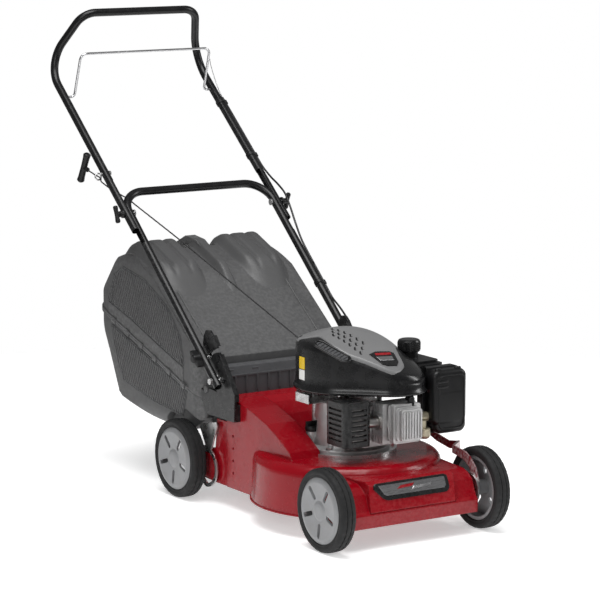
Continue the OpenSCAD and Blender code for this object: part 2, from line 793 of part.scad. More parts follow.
module oil_dipstick() color([0.1, 0.1, 0.11]) at_base() translate([-76, -56, 0])
{
    translate([0, 0, case_z0 + 42.5]) rotate_extrude()
        polygon([[0, 0], [14, 0], [15, 2], [15, 9], [12, 12], [0, 12]]);
    translate([-15, -2.5, case_z0 + 54]) cube([30, 5, 10]);
    translate([0, 0, case_z0 + 12]) cylinder(h = 32, r = 9);
}

module brake_bracket() color([0.72, 0.73, 0.75]) at_base() difference()
{
    union()
    {
        translate([0, 0, 270]) linear_extrude(2.5)
            polygon([[-108, -92], [-108, -40], [-70, 6], [-20, 36], [62, 36], [62, 6], [0, -20],
                [-62, -92]]);
        block([-62, 26, 270], [62, 28.5, 294]);
        block([-108, -92, 270], [-105.5, -40, 290]);
        on_crank() translate([0, 0, 268]) cylinder(h = 2, r = 60);
    }
    on_crank() translate([0, 0, 260]) cylinder(h = 20, r = 20);
    for (a = [45, 135, 225, 315]) on_crank() rotate(a) translate([72, 0, 260]) cylinder(h = 20, r = 6.2);
}

// ---------------------------------------------------------------- cutting parts and bolts

module blade_holder() color([0.45, 0.45, 0.47]) at_base() on_crank() difference()
{
    rotate_extrude() polygon([[0, blade_z + 1.5], [32, blade_z + 1.5], [32, blade_z + 7], [20, 76],
        [19, 100], [0, 100]]);
    translate([0, 0, 68]) cylinder(h = 40, r = 13);
    translate([0, 0, 50]) cylinder(h = 40, r = 5);
}

module blade() color([0.5, 0.5, 0.52]) at_base() on_crank() difference()
{
    union()
    {
        block([-110, -25, blade_z - 1.5], [110, 25, blade_z + 1.5]);
        for (a = [0, 180]) rotate(a) blade_end();
    }
    translate([0, 0, 50]) cylinder(h = 20, r = 5);
}

// Outer stretch of the blade: sharpened in front, and turned up into a wing behind
module blade_end()
    slab_x(110, blade_l / 2) translate([0, blade_z])
        polygon([[-25, -1.5], [-14, 1.5], [20, 1.5], [37, 13.4], [38.8, 11], [22, -1.5]]);

module blade_bolt() color([0.7, 0.71, 0.73]) at_base() on_crank()
{
    translate([0, 0, blade_z - 10.5]) cylinder(h = 7, r = 10, $fn = 6);
    translate([0, 0, blade_z - 3.5]) cylinder(h = 2, r = 16);
    translate([0, 0, blade_z - 1.5]) cylinder(h = 7.5, r = 5);
}

module engine_bolts() color([0.7, 0.71, 0.73]) at_base()
    for (a = [90:120:330]) on_crank() rotate(a) translate([84, 0, 0])
    {
        translate([0, 0, 146.5]) cylinder(h = 24, r = 4);
        translate([0, 0, 170]) cylinder(h = 6, r = 7, $fn = 6);
        translate([0, 0, 146.5]) cylinder(h = 6, r = 7, $fn = 6);
    }

// ---------------------------------------------------------------- handle

// A point on the lower handle's leg line and on the upper handle's, by its Y
function low_line(y) = [y, 354.3 + (y - 221) * 0.8787];
function high_line(y) = [y, 475.6 + (y - 350) * 0.8307];
function at_x(x, yz) = [x, yz.x, yz.y];

module lower_handle() color([0.08, 0.08, 0.09]) at_base() difference()
{
    bent_tube([
        at_x(-lower_x, low_line(136)), at_x(-lower_x, low_line(577)),
        at_x(lower_x, low_line(577)), at_x(lower_x, low_line(136))],
        [0, 60, 60, 0], tube_r, tube_t);
    for (s = [-1, 1])
    {
        // flat where the upper handle lies against this one
        translate([s * (mate_x - 0.1 + 15), 529, 625]) rotate([41, 0, 0])
            cube([30, 190, 40], center = true);
        for (p = [fold_low, clamp_low, fold_mid])
            rod_x(min(s * 180, s * 220), max(s * 180, s * 220), p, 4);
    }
}

module upper_handle() color([0.08, 0.08, 0.09]) at_base() difference()
{
    bent_tube([
        at_x(-upper_x, high_line(487)), at_x(-upper_x, high_line(914.5)), [-154.6, 822.3, 1070.6],
        [154.6, 822.3, 1070.6], at_x(upper_x, high_line(914.5)), at_x(upper_x, high_line(487))],
        [0, 75, 45, 45, 75, 0], tube_r, tube_t);
    for (s = [-1, 1])
    {
        // flat where this handle lies against the lower one
        translate([s * (mate_x + 0.1 - 15), 529, 625]) rotate([40, 0, 0])
            cube([30, 210, 40], center = true);
        rod_x(min(s * 190, s * 220), max(s * 190, s * 220), fold_mid, 4.05);
        // hole for the bail's end
        rod_x(min(s * 190, s * 207), max(s * 190, s * 207), bail_pivot, bail_d / 2 + 0.05);
    }
    rod_x(-220, -190, high_line(630), 3);
}

// One bolt: a cup head inside, a shank, and a thread for the knob or nut outside
module cup_bolt(x0, x1, p)
{
    rod_x(x0, x1, p, 4);
    rod_x(x0 - 3, x0, p, 8);
}

module handle_bolts() color([0.75, 0.76, 0.78]) at_base()
    for (s = [0, 1]) mirror([s, 0, 0])
    {
        // bottom pivot, with a spacer between the bracket and the tube, and a nut
        cup_bolt(178.2, 212, fold_low);
        rod_x(184.7, 188.45, fold_low, 8);
        translate([207.5, fold_low.x, fold_low.y]) rotate([0, 90, 0]) cylinder(h = 6, r = 7.5, $fn = 6);
        // clamp bolt in the bracket's slot
        cup_bolt(178.2, 222, clamp_low);
        rod_x(184.7, 188.45, clamp_low, 8);
        // middle pivot
        cup_bolt(188.5, 228, fold_mid);
    }

// Wing knob with its axis along +Z: a hub, two wings and a blind bore
module wing_knob() difference()
{
    union()
    {
        rotate_extrude() polygon([[0, 0], [11, 0], [12, 2], [10, 18], [8, 20], [0, 20]]);
        for (a = [0, 180]) rotate(a) linear_extrude(16)
            polygon([[0, -6], [14, -5], [23, -2.5], [23, 2.5], [14, 5], [0, 6]]);
    }
    translate([0, 0, -1]) cylinder(h = 16, r = 4.05);
}

// Tee knob: a tapered stem with a bar across it
module tee_knob() difference()
{
    union()
    {
        rotate_extrude() polygon([[0, 0], [10, 0], [10, 3], [7, 7], [6.5, 16], [0, 16]]);
        translate([-21, 0, 17]) rotate([0, 90, 0])
            rotate_extrude() polygon([[0, 0], [4.5, 1], [6, 4], [5, 16], [5, 26], [6, 38], [4.5, 41],
                [0, 42]]);
    }
    translate([0, 0, -1]) cylinder(h = 14, r = 4.05);
}

// Places a knob outside the tube at x, with its length tipped by angle
module knob_at(s, x, p, tip) translate([s * x, p.x, p.y]) rotate([0, s * 90, 0]) rotate(tip) children();

module upper_knob_right() color([0.05, 0.05, 0.06]) at_base() knob_at(-1, 215.8, fold_mid, 20) tee_knob();
module upper_knob_left() color([0.05, 0.05, 0.06]) at_base() knob_at(1, 215.8, fold_mid, 20) tee_knob();
module lower_knob_right() color([0.05, 0.05, 0.06]) at_base() knob_at(-1, 207.8, clamp_low, 50) wing_knob();
module lower_knob_left() color([0.05, 0.05, 0.06]) at_base() knob_at(1, 207.8, clamp_low, 50) wing_knob();

bail_pivot = high_line(827);

module bail() color([0.7, 0.71, 0.73]) at_base()
    bent_bar([
        at_x(-206, bail_pivot), at_x(-180, bail_pivot), [-178, 794, 976], [178, 794, 976],
        at_x(180, bail_pivot), at_x(206, bail_pivot)],
        [0, 9, 16, 16, 9, 0], bail_d / 2);

// Route of the brake cable's sheath, from its clamp on the upper handle to the engine
sheath = [
    [219.4, 804, 853], [220.4, 790, 841.1], [220.4, 720, 783], [220.4, 650, 724.8], [220.8, 620, 699.8],
    [222, 585, 678], [222, 552, 663], [221, 520, 645], [217, 490, 616], [213, 460, 580], [212.4, 430, 541],
    [212.4, 380, 494.4], [212.4, 335, 454.5], [212, 300, 423.6], [208, 262, 406], [202, 225, 388],
    [198, 195, 368], [193, 165, 354], [184, 132, 338], [165, 105, 325], [140, 85, 314], [105, 62, 300],
    [70, 44, 288], [52, 36, 284], [47.4, 31.2, 283.3]];
// Route of the thin inner wire, from the bail's arm to the clamp
wire = [[183.4, 803, 949], [190, 808, 930], [206, 812, 890], [214.6, 808, 866], [219.4, 804, 853]];

module brake_cable() color([0.06, 0.06, 0.07]) at_base()
{
    cable(sheath, 2.4);
    cable(wire, 1, 6);
}

// A band clipped round a tube at p, with its axis along dir, and a hook for the cable
module tube_clip(p, dir, hook)
{
    aim(p, dir, [1, 0, 0]) rotate_extrude() translate([tube_r + 0.15, -5]) square([1.6, 10]);
    aim(p + [hook, 0, 0], dir, [1, 0, 0]) rotate_extrude() translate([3.1, -5]) square([1.6, 10]);
}

module upper_cable_clips() color([0.05, 0.05, 0.06]) at_base()
    for (y = [790, 650]) tube_clip(at_x(upper_x, high_line(y)), [0, 0.769, 0.639], 14.4);

module lower_cable_clip() color([0.05, 0.05, 0.06]) at_base()
    tube_clip(at_x(lower_x, low_line(335)), [0, 0.751, 0.66], 14.4);

guide = [-225, 630, 702];
grip = [-230, 690.5, 718];

module rope_guide() color([0.75, 0.76, 0.78]) at_base()
{
    translate(guide) rotate([80, 0, 0]) rotate_extrude() translate([7.5, 0]) circle(2);
    rod_x(-219, -193, high_line(630), 3);
    translate([-196.5, high_line(630).x, high_line(630).y]) rotate([0, 90, 0])
        cylinder(h = 4, r = 6, $fn = 6);
}

module starter_grip() color([0.05, 0.05, 0.06]) at_base()
{
    aim([-230, 672, 753], [0, 37, -70], [1, 0, 0]) rotate_extrude()
        polygon([[0, 0], [6, 1], [9, 4], [8, 14], [7.5, 40], [8, 66], [9, 75], [6, 78.5], [0, 79.5]]);
    aim(grip, guide - grip, [1, 0, 0]) cylinder(h = 17, r = 5.5);
}

// Route of the starter rope from the shroud, under the crossbar, to the guide and the grip
rope = [
    rope_a, [-98, 40, 430], [-110, 130, 467], [-122, 220, 504], [-135, 310, 542], [-147, 400, 579],
    [-159, 490, 614], [-168, 550, 638], [-173, 583, 652], [-186, 600, 662], [-206, 616, 677.5],
    [-219, 625, 690], [-221, 624.5, 697], [-224, 628, 701.3], [-225, 631, 702.4], [-227, 645, 706],
    [-228, 660, 710], [-228.6, 673.5, 713.5]];

module starter_rope() color([0.08, 0.08, 0.08]) at_base() cable(rope, 1.8);

// ---------------------------------------------------------------- grass box

// Side view of the whole box, shrunk by i
module box_outline(i)
    polygon([
        [230 + i, 200], [226 + i, 328 - i / 2], [440 + i / 2, 487 - i], [556, 533 - i],
            [606 - i / 2, 513 - i],
        [698 - i, 403 - i / 2], [704 - i, 390], [697 - i, 378], [646 - i, 285], [602 - i, 194 + i / 2],
        [588 - i / 2, 185 + i], [416, 148 + i], [300 + i / 2, 152 + i], [232 + i, 190 + i / 2]]);

// Plan and front view of the box, to round its upright and its lengthwise edges
module box_solid(i) difference()
{
    intersection()
    {
        slab_x(-box_w / 2 + i, box_w / 2 - i) box_outline(i);
        translate([0, 0, 100]) linear_extrude(500)
            soft_rect([-box_w / 2 + i, 225 + i], [box_w / 2 - i, 705 - i], 40);
        translate([0, 800, 0]) rotate([90, 0, 0]) linear_extrude(700)
            soft_rect([-box_w / 2 + i, 147 + i], [box_w / 2 - i, 534 - i], 36);
    }
    // arches over the rear wheels
    for (s = [-1, 1])
        rod_x(min(s * (169 - i), s * 200), max(s * (169 - i), s * 200), [rear_y, wheel_r], 112 + i);
    // hollow under the carrying handle
    slab_x(-44 - i, 44 + i) polygon([
        [550 - i, 560], [550 - i, 486 - i], [600, 456 - i], [668 + i / 2, 392 - i], [720, 392 - i],
            [720, 560]]);
}

// Everything above the seam, shifted by dz
module above_seam(dz)
    slab_x(-300, 300) polygon([[200, 225 + dz], [720, 394 + dz], [720, 600], [200, 600]]);

module grass_box_top() color([0.3, 0.31, 0.32]) at_base()
{
    difference()
    {
        union()
        {
            intersection()
            {
                box_solid(0);
                above_seam(0);
            }
            seam_flange(0, 5);
        }
        box_solid(box_t);
        block([-170, 200, 150], [170, 240, 249]);
        // row of slanted air slots in each side, above the seam
        for (s = [-1, 1])
            for (i = [0:9])
                translate([s * 190, 330 + i * 32, 310 + i * 10.4]) rotate([-25, 0, 0])
                    cube([20, 5, 60], center = true);
    }
    carry_handle();
}

// Lip that runs round the box at the seam, from z0 to z1 above it
module seam_flange(z0, z1) intersection()
{
    above_seam(z0);
    difference()
    {
        translate([0, 0, 100]) linear_extrude(500)
            soft_rect([-box_w / 2 - 3, 252], [box_w / 2 + 3, 708], 42);
        above_seam(z1);
        translate([0, 0, 100]) linear_extrude(500)
            soft_rect([-box_w / 2 + 2, 254], [box_w / 2 - 2, 703], 38);
    }
}

// Arched handle along the middle of the lid
module carry_handle()
    slab_x(-13, 13) polygon([
        [520, 512], [524, 536], [546, 547], [592, 552], [640, 530], [666, 500], [676, 470], [682, 391],
            [666, 393],
        [656, 470], [648, 492], [630, 514], [590, 535], [560, 530], [552, 512], [552, 500], [540, 500]]);

module grass_box_base() color([0.3, 0.31, 0.32]) at_base()
{
    difference()
    {
        union()
        {
            difference()
            {
                box_solid(0);
                above_seam(0);
            }
            difference()
            {
                seam_flange(-5, 0);
                above_seam(0);
            }
            // neck that meets the deck's tunnel
            block([-154, 156, 166], [154, 236, 247]);
        }
        difference()
        {
            box_solid(box_t);
            above_seam(0.01);
        }
        block([-151.5, 150, 168.5], [151.5, 250, 244.5]);
        // row of slanted air slots in each side, below the seam
        for (s = [-1, 1])
            for (i = [0:6])
                translate([s * 190, 430 + i * 28, 262 + i * 9]) rotate([-25, 0, 0])
                    cube([20, 5, 50], center = true);
    }
    // arms and lugs that hang the box on the brackets
    for (s = [0, 1]) mirror([s, 0, 0])
    {
        slab_x(150, 158) polygon([[190, 247], [190, 240], [227, 240], [227, 280], [200, 272]]);
        rod_x(150, 186, lug, lug_r);
    }
}

deck();
nose_badge();
handle_bracket_right();
handle_bracket_left();
rear_flap();
flap_rod();
flap_spring();
front_axle();
rear_axle();
front_height_lever();
rear_height_lever();
tyre_front_right();
tyre_front_left();
tyre_rear_right();
tyre_rear_left();
hub_front_right();
hub_front_left();
hub_rear_right();
hub_rear_left();
engine_plate();
crankcase();
cylinder_block();
cylinder_head();
valve_cover();
spark_plug();
muffler();
muffler_guard();
carburettor();
air_filter_box();
air_filter_cover();
fuel_tank();
fuel_cap();
blower_shroud();
shroud_cover();
cover_badge();
flywheel();
crankshaft();
starter_pulley();
oil_dipstick();
brake_bracket();
blade_holder();
blade();
blade_bolt();
engine_bolts();
lower_handle();
upper_handle();
handle_bolts();
upper_knob_right();
upper_knob_left();
lower_knob_right();
lower_knob_left();
bail();
brake_cable();
upper_cable_clips();
lower_cable_clip();
rope_guide();
starter_grip();
starter_rope();
grass_box_top();
grass_box_base();
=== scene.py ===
"""Looks of a walk-behind petrol lawn mower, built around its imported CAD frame.

Every piece is in metres in the CAD frame: +X to the operator's left, +Y back towards the operator, +Z up.
Points of ropes and cables repeat the routes of part.scad.
"""

import json
import math

import bmesh
import bpy
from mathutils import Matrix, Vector


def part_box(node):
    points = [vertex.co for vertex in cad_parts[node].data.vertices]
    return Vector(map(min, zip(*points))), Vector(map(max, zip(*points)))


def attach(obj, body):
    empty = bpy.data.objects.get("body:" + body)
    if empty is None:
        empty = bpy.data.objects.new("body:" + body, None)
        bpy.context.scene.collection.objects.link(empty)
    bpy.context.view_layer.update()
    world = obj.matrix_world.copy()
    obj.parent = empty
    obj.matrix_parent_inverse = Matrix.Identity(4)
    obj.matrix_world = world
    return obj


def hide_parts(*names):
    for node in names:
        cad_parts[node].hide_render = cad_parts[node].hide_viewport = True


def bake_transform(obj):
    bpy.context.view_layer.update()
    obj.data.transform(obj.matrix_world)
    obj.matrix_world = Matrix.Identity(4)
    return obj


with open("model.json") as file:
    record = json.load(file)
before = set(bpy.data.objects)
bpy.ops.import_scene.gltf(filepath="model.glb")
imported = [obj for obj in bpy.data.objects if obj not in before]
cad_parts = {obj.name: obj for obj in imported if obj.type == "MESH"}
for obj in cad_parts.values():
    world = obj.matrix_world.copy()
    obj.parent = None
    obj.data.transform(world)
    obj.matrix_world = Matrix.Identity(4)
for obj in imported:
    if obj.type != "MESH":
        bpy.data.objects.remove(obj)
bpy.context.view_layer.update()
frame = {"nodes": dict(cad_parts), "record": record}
NODES = frame["nodes"]
MM = 0.001


def node_centre(name):
    """The middle of a CAD node's box."""
    low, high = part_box(name)
    return (low + high) / 2


# The middle of the wheelbase: part.scad measures from here along Y
WHEEL_MID_Y = (node_centre("tyre_front_right").y + node_centre("tyre_rear_right").y) / 2


def at(x, y, z):
    """A point of part.scad, in its own millimetres from the middle of the wheelbase."""
    return Vector((x * MM, y * MM + WHEEL_MID_Y, z * MM))


# ---------------------------------------------------------------- camera

CAMERA_AZIMUTH = math.radians(-32.76)
CAMERA_ELEVATION = math.radians(9.26)
CAMERA_DISTANCE = 6.092
CAMERA_LENS = 167.1
CAMERA_TARGET = (-70.61, 0, 483.27)


def make_camera():
    """The camera of the photograph, as solved from the wheels, the deck and the handle."""
    data = bpy.data.cameras.new("camera")
    camera = bpy.data.objects.new("camera", data)
    bpy.context.scene.collection.objects.link(camera)
    data.lens = CAMERA_LENS
    data.sensor_width = 36
    data.clip_start, data.clip_end = 0.05, 100
    back = Vector((
        math.sin(CAMERA_AZIMUTH) * math.cos(CAMERA_ELEVATION),
        -math.cos(CAMERA_AZIMUTH) * math.cos(CAMERA_ELEVATION),
        math.sin(CAMERA_ELEVATION),
    ))
    camera.location = at(*CAMERA_TARGET) + back * CAMERA_DISTANCE
    camera.rotation_mode = "QUATERNION"
    camera.rotation_quaternion = (-back).to_track_quat("-Z", "Y")
    bpy.context.scene.camera = camera


make_camera()

# ---------------------------------------------------------------- materials

# Noise scales of the finishes' layers, and the noise values between which each layer grows to its full
# strength. Ridges are found by Blender's pointiness.
DUST_SCALE, WEAR_SCALE, SHEEN_SCALE = 34, 130, 48
EVEN_RANGE, DUST_RANGE, WEAR_RANGE, RIDGE_RANGE = (0.3, 0.7), (0.5, 0.8), (0.4, 0.65), (0.53, 0.62)
MOST_DUST, LEAST_ROUGH = 0.3, 0.02
BEVEL_SAMPLES = 6


def add_node(tree, kind, **values):
    """A new node, with its sockets or settings set by name."""
    node = tree.nodes.new(kind)
    for key, value in values.items():
        if key in node.inputs:
            node.inputs[key].default_value = value
        else:
            setattr(node, key, value)
    return node


def noise(tree, coord, scale, detail=3, rough=0.55, stretch=None):
    """A noise texture in object coordinates, stretched along an axis if asked."""
    source = coord.outputs["Object"]
    if stretch:
        mapping = add_node(tree, "ShaderNodeMapping")
        mapping.inputs["Scale"].default_value = stretch
        tree.links.new(source, mapping.inputs["Vector"])
        source = mapping.outputs["Vector"]
    made = add_node(tree, "ShaderNodeTexNoise", Scale=scale, Detail=detail, Roughness=rough)
    tree.links.new(source, made.inputs["Vector"])
    return made


def remap(tree, source, low, high, to_low, to_high, out="Fac"):
    """A value mapped from one range to another, and kept within it."""
    made = add_node(tree, "ShaderNodeMapRange")
    for name, value in (("From Min", low), ("From Max", high), ("To Min", to_low), ("To Max", to_high)):
        made.inputs[name].default_value = value
    tree.links.new(source.outputs[out], made.inputs["Value"])
    return made


def mix_colour(tree, factor, a, b):
    """A mix of two colours, each given as a socket or as red, green and blue."""
    made = add_node(tree, "ShaderNodeMix", data_type="RGBA")
    tree.links.new(factor, made.inputs[0])
    for socket, value in ((made.inputs[6], a), (made.inputs[7], b)):
        if isinstance(value, bpy.types.NodeSocket):
            tree.links.new(value, socket)
        else:
            socket.default_value = (*value, 1)
    return made.outputs[2]


def finish_material(
    name, colour, rough, metallic=0.0, coat=0.0, coat_rough=0.1, spread=0.1, blotch=9,
    grain=900, grain_depth=0.0, lumps=0, lump_depth=0.0, edge=0.0, wear=None, wear_amount=0.35,
    rough_spread=0.07, dust=None, stretch=None, specular=0.5,
):
    """One procedural finish: mottled colour, uneven gloss, fine grain, lumps, rounded and worn edges."""
    material = bpy.data.materials.new(name)
    material.use_nodes = True
    tree = material.node_tree
    shader = tree.nodes["Principled BSDF"]
    shader.inputs["Metallic"].default_value = metallic
    shader.inputs["Coat Weight"].default_value = coat
    shader.inputs["Coat Roughness"].default_value = coat_rough
    shader.inputs["Specular IOR Level"].default_value = specular
    coord = add_node(tree, "ShaderNodeTexCoord")
    patches = noise(tree, coord, blotch, 4)
    share = remap(tree, patches, *EVEN_RANGE, 0, 1)
    paint = mix_colour(
        tree, share.outputs[0],
        [c * (1 - spread) for c in colour], [min(1, c * (1 + spread)) for c in colour],
    )
    if dust:
        film = remap(tree, noise(tree, coord, DUST_SCALE, 5), *DUST_RANGE, 0, MOST_DUST)
        paint = mix_colour(tree, film.outputs[0], paint, dust)
    if wear:
        geometry = add_node(tree, "ShaderNodeNewGeometry")
        ridge = remap(tree, geometry, *RIDGE_RANGE, 0, wear_amount, "Pointiness")
        broken = add_node(tree, "ShaderNodeMath", operation="MULTIPLY")
        tree.links.new(ridge.outputs[0], broken.inputs[0])
        gaps = remap(tree, noise(tree, coord, WEAR_SCALE, 4), *WEAR_RANGE, 0, 1)
        tree.links.new(gaps.outputs[0], broken.inputs[1])
        paint = mix_colour(tree, broken.outputs[0], paint, wear)
    tree.links.new(paint, shader.inputs["Base Color"])
    sheen = remap(
        tree, noise(tree, coord, SHEEN_SCALE, 4, stretch=stretch), *EVEN_RANGE,
        max(LEAST_ROUGH, rough - rough_spread), rough + rough_spread,
    )
    tree.links.new(sheen.outputs[0], shader.inputs["Roughness"])
    normal = None
    if edge:
        rounding = add_node(tree, "ShaderNodeBevel", samples=BEVEL_SAMPLES, Radius=edge)
        normal = rounding.outputs[0]
    for scale, depth, drawn in ((lumps, lump_depth, None), (grain, grain_depth, stretch)):
        if depth:
            bump = add_node(tree, "ShaderNodeBump", Strength=1.0, Distance=depth)
            tree.links.new(noise(tree, coord, scale, 3, stretch=drawn).outputs["Fac"], bump.inputs["Height"])
            if normal:
                tree.links.new(normal, bump.inputs["Normal"])
            normal = bump.outputs[0]
    if normal:
        tree.links.new(normal, shader.inputs["Normal"])
    return material


MATERIALS = {
    "deck_paint": finish_material(
        "deck_paint", (0.25, 0.0006, 0.006), 0.24, coat=0.14, coat_rough=0.06, spread=0.07,
        lumps=16, lump_depth=0.0016, grain=2200, grain_depth=0.00002, edge=0.0035, wear=(0.5, 0.1, 0.1),
        wear_amount=0.2, specular=0.26),
    "lever_paint": finish_material(
        "lever_paint", (0.2, 0.006, 0.016), 0.3, metallic=0.3, coat=0.6, edge=0.0008, wear=(0.6, 0.6, 0.6),
        wear_amount=0.7, grain=1500, grain_depth=0.00003),
    "black_paint": finish_material(
        "black_paint", (0.005, 0.005, 0.0055), 0.3, coat=0.08, coat_rough=0.2, edge=0.0018,
        wear=(0.06, 0.06, 0.06), grain=1800, grain_depth=0.00004, spread=0.2, dust=(0.01, 0.01, 0.01),
        specular=0.3),
    "black_plastic": finish_material(
        "black_plastic", (0.006, 0.006, 0.0065), 0.36, edge=0.0035, grain=1600, grain_depth=0.00006,
        spread=0.2, wear=(0.04, 0.04, 0.04), dust=(0.01, 0.01, 0.01), specular=0.3),
    "gloss_black": finish_material(
        "gloss_black", (0.005, 0.005, 0.0055), 0.27, coat=0.15, coat_rough=0.15, grain=1400,
        grain_depth=0.00003, spread=0.2, wear=(0.04, 0.04, 0.04), specular=0.4),
    "grey_plastic": finish_material(
        "grey_plastic", (0.07, 0.07, 0.071), 0.5, edge=0.005, grain=1100, grain_depth=0.00009, spread=0.07,
        wear=(0.2, 0.2, 0.2), wear_amount=0.4, lumps=7, lump_depth=0.0012),
    "flap_plastic": finish_material(
        "flap_plastic", (0.05, 0.051, 0.055), 0.47, edge=0.0015, grain=1200, grain_depth=0.00008,
        wear=(0.14, 0.14, 0.14)),
    "cover_plastic": finish_material(
        "cover_plastic", (0.17, 0.17, 0.172), 0.36, grain=1500, grain_depth=0.00005, spread=0.06,
        wear=(0.3, 0.3, 0.3), wear_amount=0.3, coat=0.15, coat_rough=0.3),
    "hub_plastic": finish_material(
        "hub_plastic", (0.24, 0.243, 0.25), 0.4, metallic=0.25, edge=0.0016, grain=1300, grain_depth=0.00005,
        spread=0.06, dust=(0.2, 0.19, 0.17)),
    "tread_rubber": finish_material(
        "tread_rubber", (0.012, 0.012, 0.0125), 0.66, edge=0.0012, grain=1500, grain_depth=0.00012,
        spread=0.2, dust=(0.03, 0.029, 0.027), wear=(0.045, 0.045, 0.045), specular=0.3),
    "zinc": finish_material(
        "zinc", (0.6, 0.6, 0.6), 0.3, metallic=1, edge=0.0008, grain=700, grain_depth=0.00008, spread=0.12,
        blotch=40, rough_spread=0.12),
    "cast_aluminium": finish_material(
        "cast_aluminium", (0.56, 0.56, 0.56), 0.42, metallic=0.85, edge=0.0014, grain=1300,
        grain_depth=0.00022, spread=0.12, blotch=30, lumps=140, lump_depth=0.0003, rough_spread=0.1,
        dust=(0.25, 0.24, 0.22)),
    "machined_steel": finish_material(
        "machined_steel", (0.34, 0.33, 0.32), 0.36, metallic=0.9, edge=0.0008, grain=900, grain_depth=0.00008,
        spread=0.2, blotch=26, dust=(0.14, 0.1, 0.07)),
    "badge_metal": finish_material(
        "badge_metal", (0.2, 0.2, 0.205), 0.3, metallic=0.7, edge=0.0008, grain=900, grain_depth=0.00003,
        stretch=(1, 30, 30), spread=0.06),
    "carb_body": finish_material(
        "carb_body", (0.52, 0.47, 0.34), 0.36, metallic=0.55, edge=0.001, grain=900, grain_depth=0.0001,
        spread=0.1, blotch=30),
    "cable_sheath": finish_material(
        "cable_sheath", (0.012, 0.012, 0.013), 0.38, grain=2400, grain_depth=0.00004, spread=0.2),
    "rope_fibre": finish_material(
        "rope_fibre", (0.02, 0.02, 0.021), 0.75, grain=2600, grain_depth=0.0003, spread=0.3),
    "wire": finish_material(
        "wire", (0.62, 0.62, 0.63), 0.22, metallic=1, grain=1200, grain_depth=0.00004, spread=0.08,
        blotch=50),
}

for subpart in frame["record"]["subparts"]:
    cad_object = NODES[subpart["node"]]
    cad_object.data.materials.clear()
    cad_object.data.materials.append(MATERIALS[subpart["material_slot"]])


def finished(mesh_builder, name, body, slot, replaces=()):
    """Turns a bmesh into a smooth piece on a body, with the slot's material."""
    mesh = bpy.data.meshes.new(name)
    bmesh.ops.recalc_face_normals(mesh_builder, faces=mesh_builder.faces)
    mesh_builder.to_mesh(mesh)
    mesh_builder.free()
    piece = bpy.data.objects.new(name, mesh)
    bpy.context.scene.collection.objects.link(piece)
    mesh.materials.append(MATERIALS[slot])
    mesh.shade_smooth()
    if body:
        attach(piece, body)
    if replaces:
        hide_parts(*replaces)
    return piece


# ---------------------------------------------------------------- ropes and cables

STRANDS, STRAND_DEPTH = 3, 0.12


def smooth_route(points, steps=6):
    """A Catmull-Rom curve through the points."""
    route = []
    for i in range(len(points) - 1):
        before = points[max(i - 1, 0)]
        a, b = points[i], points[i + 1]
        after = points[min(i + 2, len(points) - 1)]
        for k in range(steps):
            t = k / steps
            route.append(0.5 * (
                2 * a + (b - before) * t + (2 * before - 5 * a + 4 * b - after) * t * t
                + (3 * a - before - 3 * b + after) * t ** 3
            ))
    return route + [points[-1]]


def tube(route, radius, sides=12, twist=0.0):
    """A closed tube along a route; with twist, its section is a three-strand rope's."""
    mesh = bmesh.new()
    rings = []
    across = None
    run = 0.0
    for i, point in enumerate(route):
        ahead = (route[min(i + 1, len(route) - 1)] - route[max(i - 1, 0)]).normalized()
        if across is None:
            across = ahead.cross(Vector((1, 0.3, 0.2))).normalized()
        else:
            across = (across - ahead * across.dot(ahead)).normalized()
            run += (point - route[i - 1]).length
        other = ahead.cross(across)
        ring = []
        for k in range(sides):
            angle = 2 * math.pi * k / sides
            r = radius
            if twist:
                r *= 1 - STRAND_DEPTH + STRAND_DEPTH * math.cos(STRANDS * angle + run * twist)
            ring.append(mesh.verts.new(point + (across * math.cos(angle) + other * math.sin(angle)) * r))
        rings.append(ring)
    for a, b in zip(rings, rings[1:]):
        for k in range(sides):
            mesh.faces.new((a[k], a[(k + 1) % sides], b[(k + 1) % sides], b[k]))
    mesh.faces.new(rings[0][::-1])
    mesh.faces.new(rings[-1])
    return mesh


def spaced(route, gap):
    """The same route with a point at least every gap."""
    points = [route[0]]
    for a, b in zip(route, route[1:]):
        n = max(1, math.ceil((b - a).length / gap))
        points += [a.lerp(b, (k + 1) / n) for k in range(n)]
    return points


ROPE = [at(*p) for p in (
    (-86, -44, 395), (-98, 40, 430), (-110, 130, 467), (-122, 220, 504), (-135, 310, 542), (-147, 400, 579),
    (-159, 490, 614), (-168, 550, 638), (-173, 583, 652), (-186, 600, 662), (-206, 616, 677.5),
    (-219, 625, 690), (-221, 624.5, 697), (-224, 628, 701.3), (-225, 631, 702.4), (-227, 645, 706),
    (-228, 660, 710), (-228.6, 673.5, 713.5))]
SHEATH = [at(*p) for p in (
    (219.4, 804, 853), (220.4, 790, 841.1), (220.4, 720, 783), (220.4, 650, 724.8), (220.8, 620, 699.8),
    (222, 585, 678), (222, 552, 663), (221, 520, 645), (217, 490, 616), (213, 460, 580), (212.4, 430, 541),
    (212.4, 380, 494.4), (212.4, 335, 454.5), (212, 300, 423.6), (208, 262, 406), (202, 225, 388),
    (198, 195, 368), (193, 165, 354), (184, 132, 338), (165, 105, 325), (140, 85, 314), (105, 62, 300),
    (70, 44, 288), (52, 36, 284), (47.4, 31.2, 283.3))]
WIRE = [at(*p) for p in (
    (183.4, 803, 949), (190, 808, 930), (206, 812, 890), (214.6, 808, 866), (219.4, 804, 853))]
ROPE_R, SHEATH_R, WIRE_R = 0.0018, 0.0024, 0.001
ROPE_STEP, CABLE_STEP = 0.004, 0.01


def flexible(name, points, radius, slot, twist=0.0):
    """A length of rope or cable: a tube along a smooth route through its points, on no body."""
    route = spaced(smooth_route(points), ROPE_STEP if twist else CABLE_STEP)
    piece = finished(tube(route, radius, 12, twist), name, None, slot)
    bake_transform(piece)
    return piece


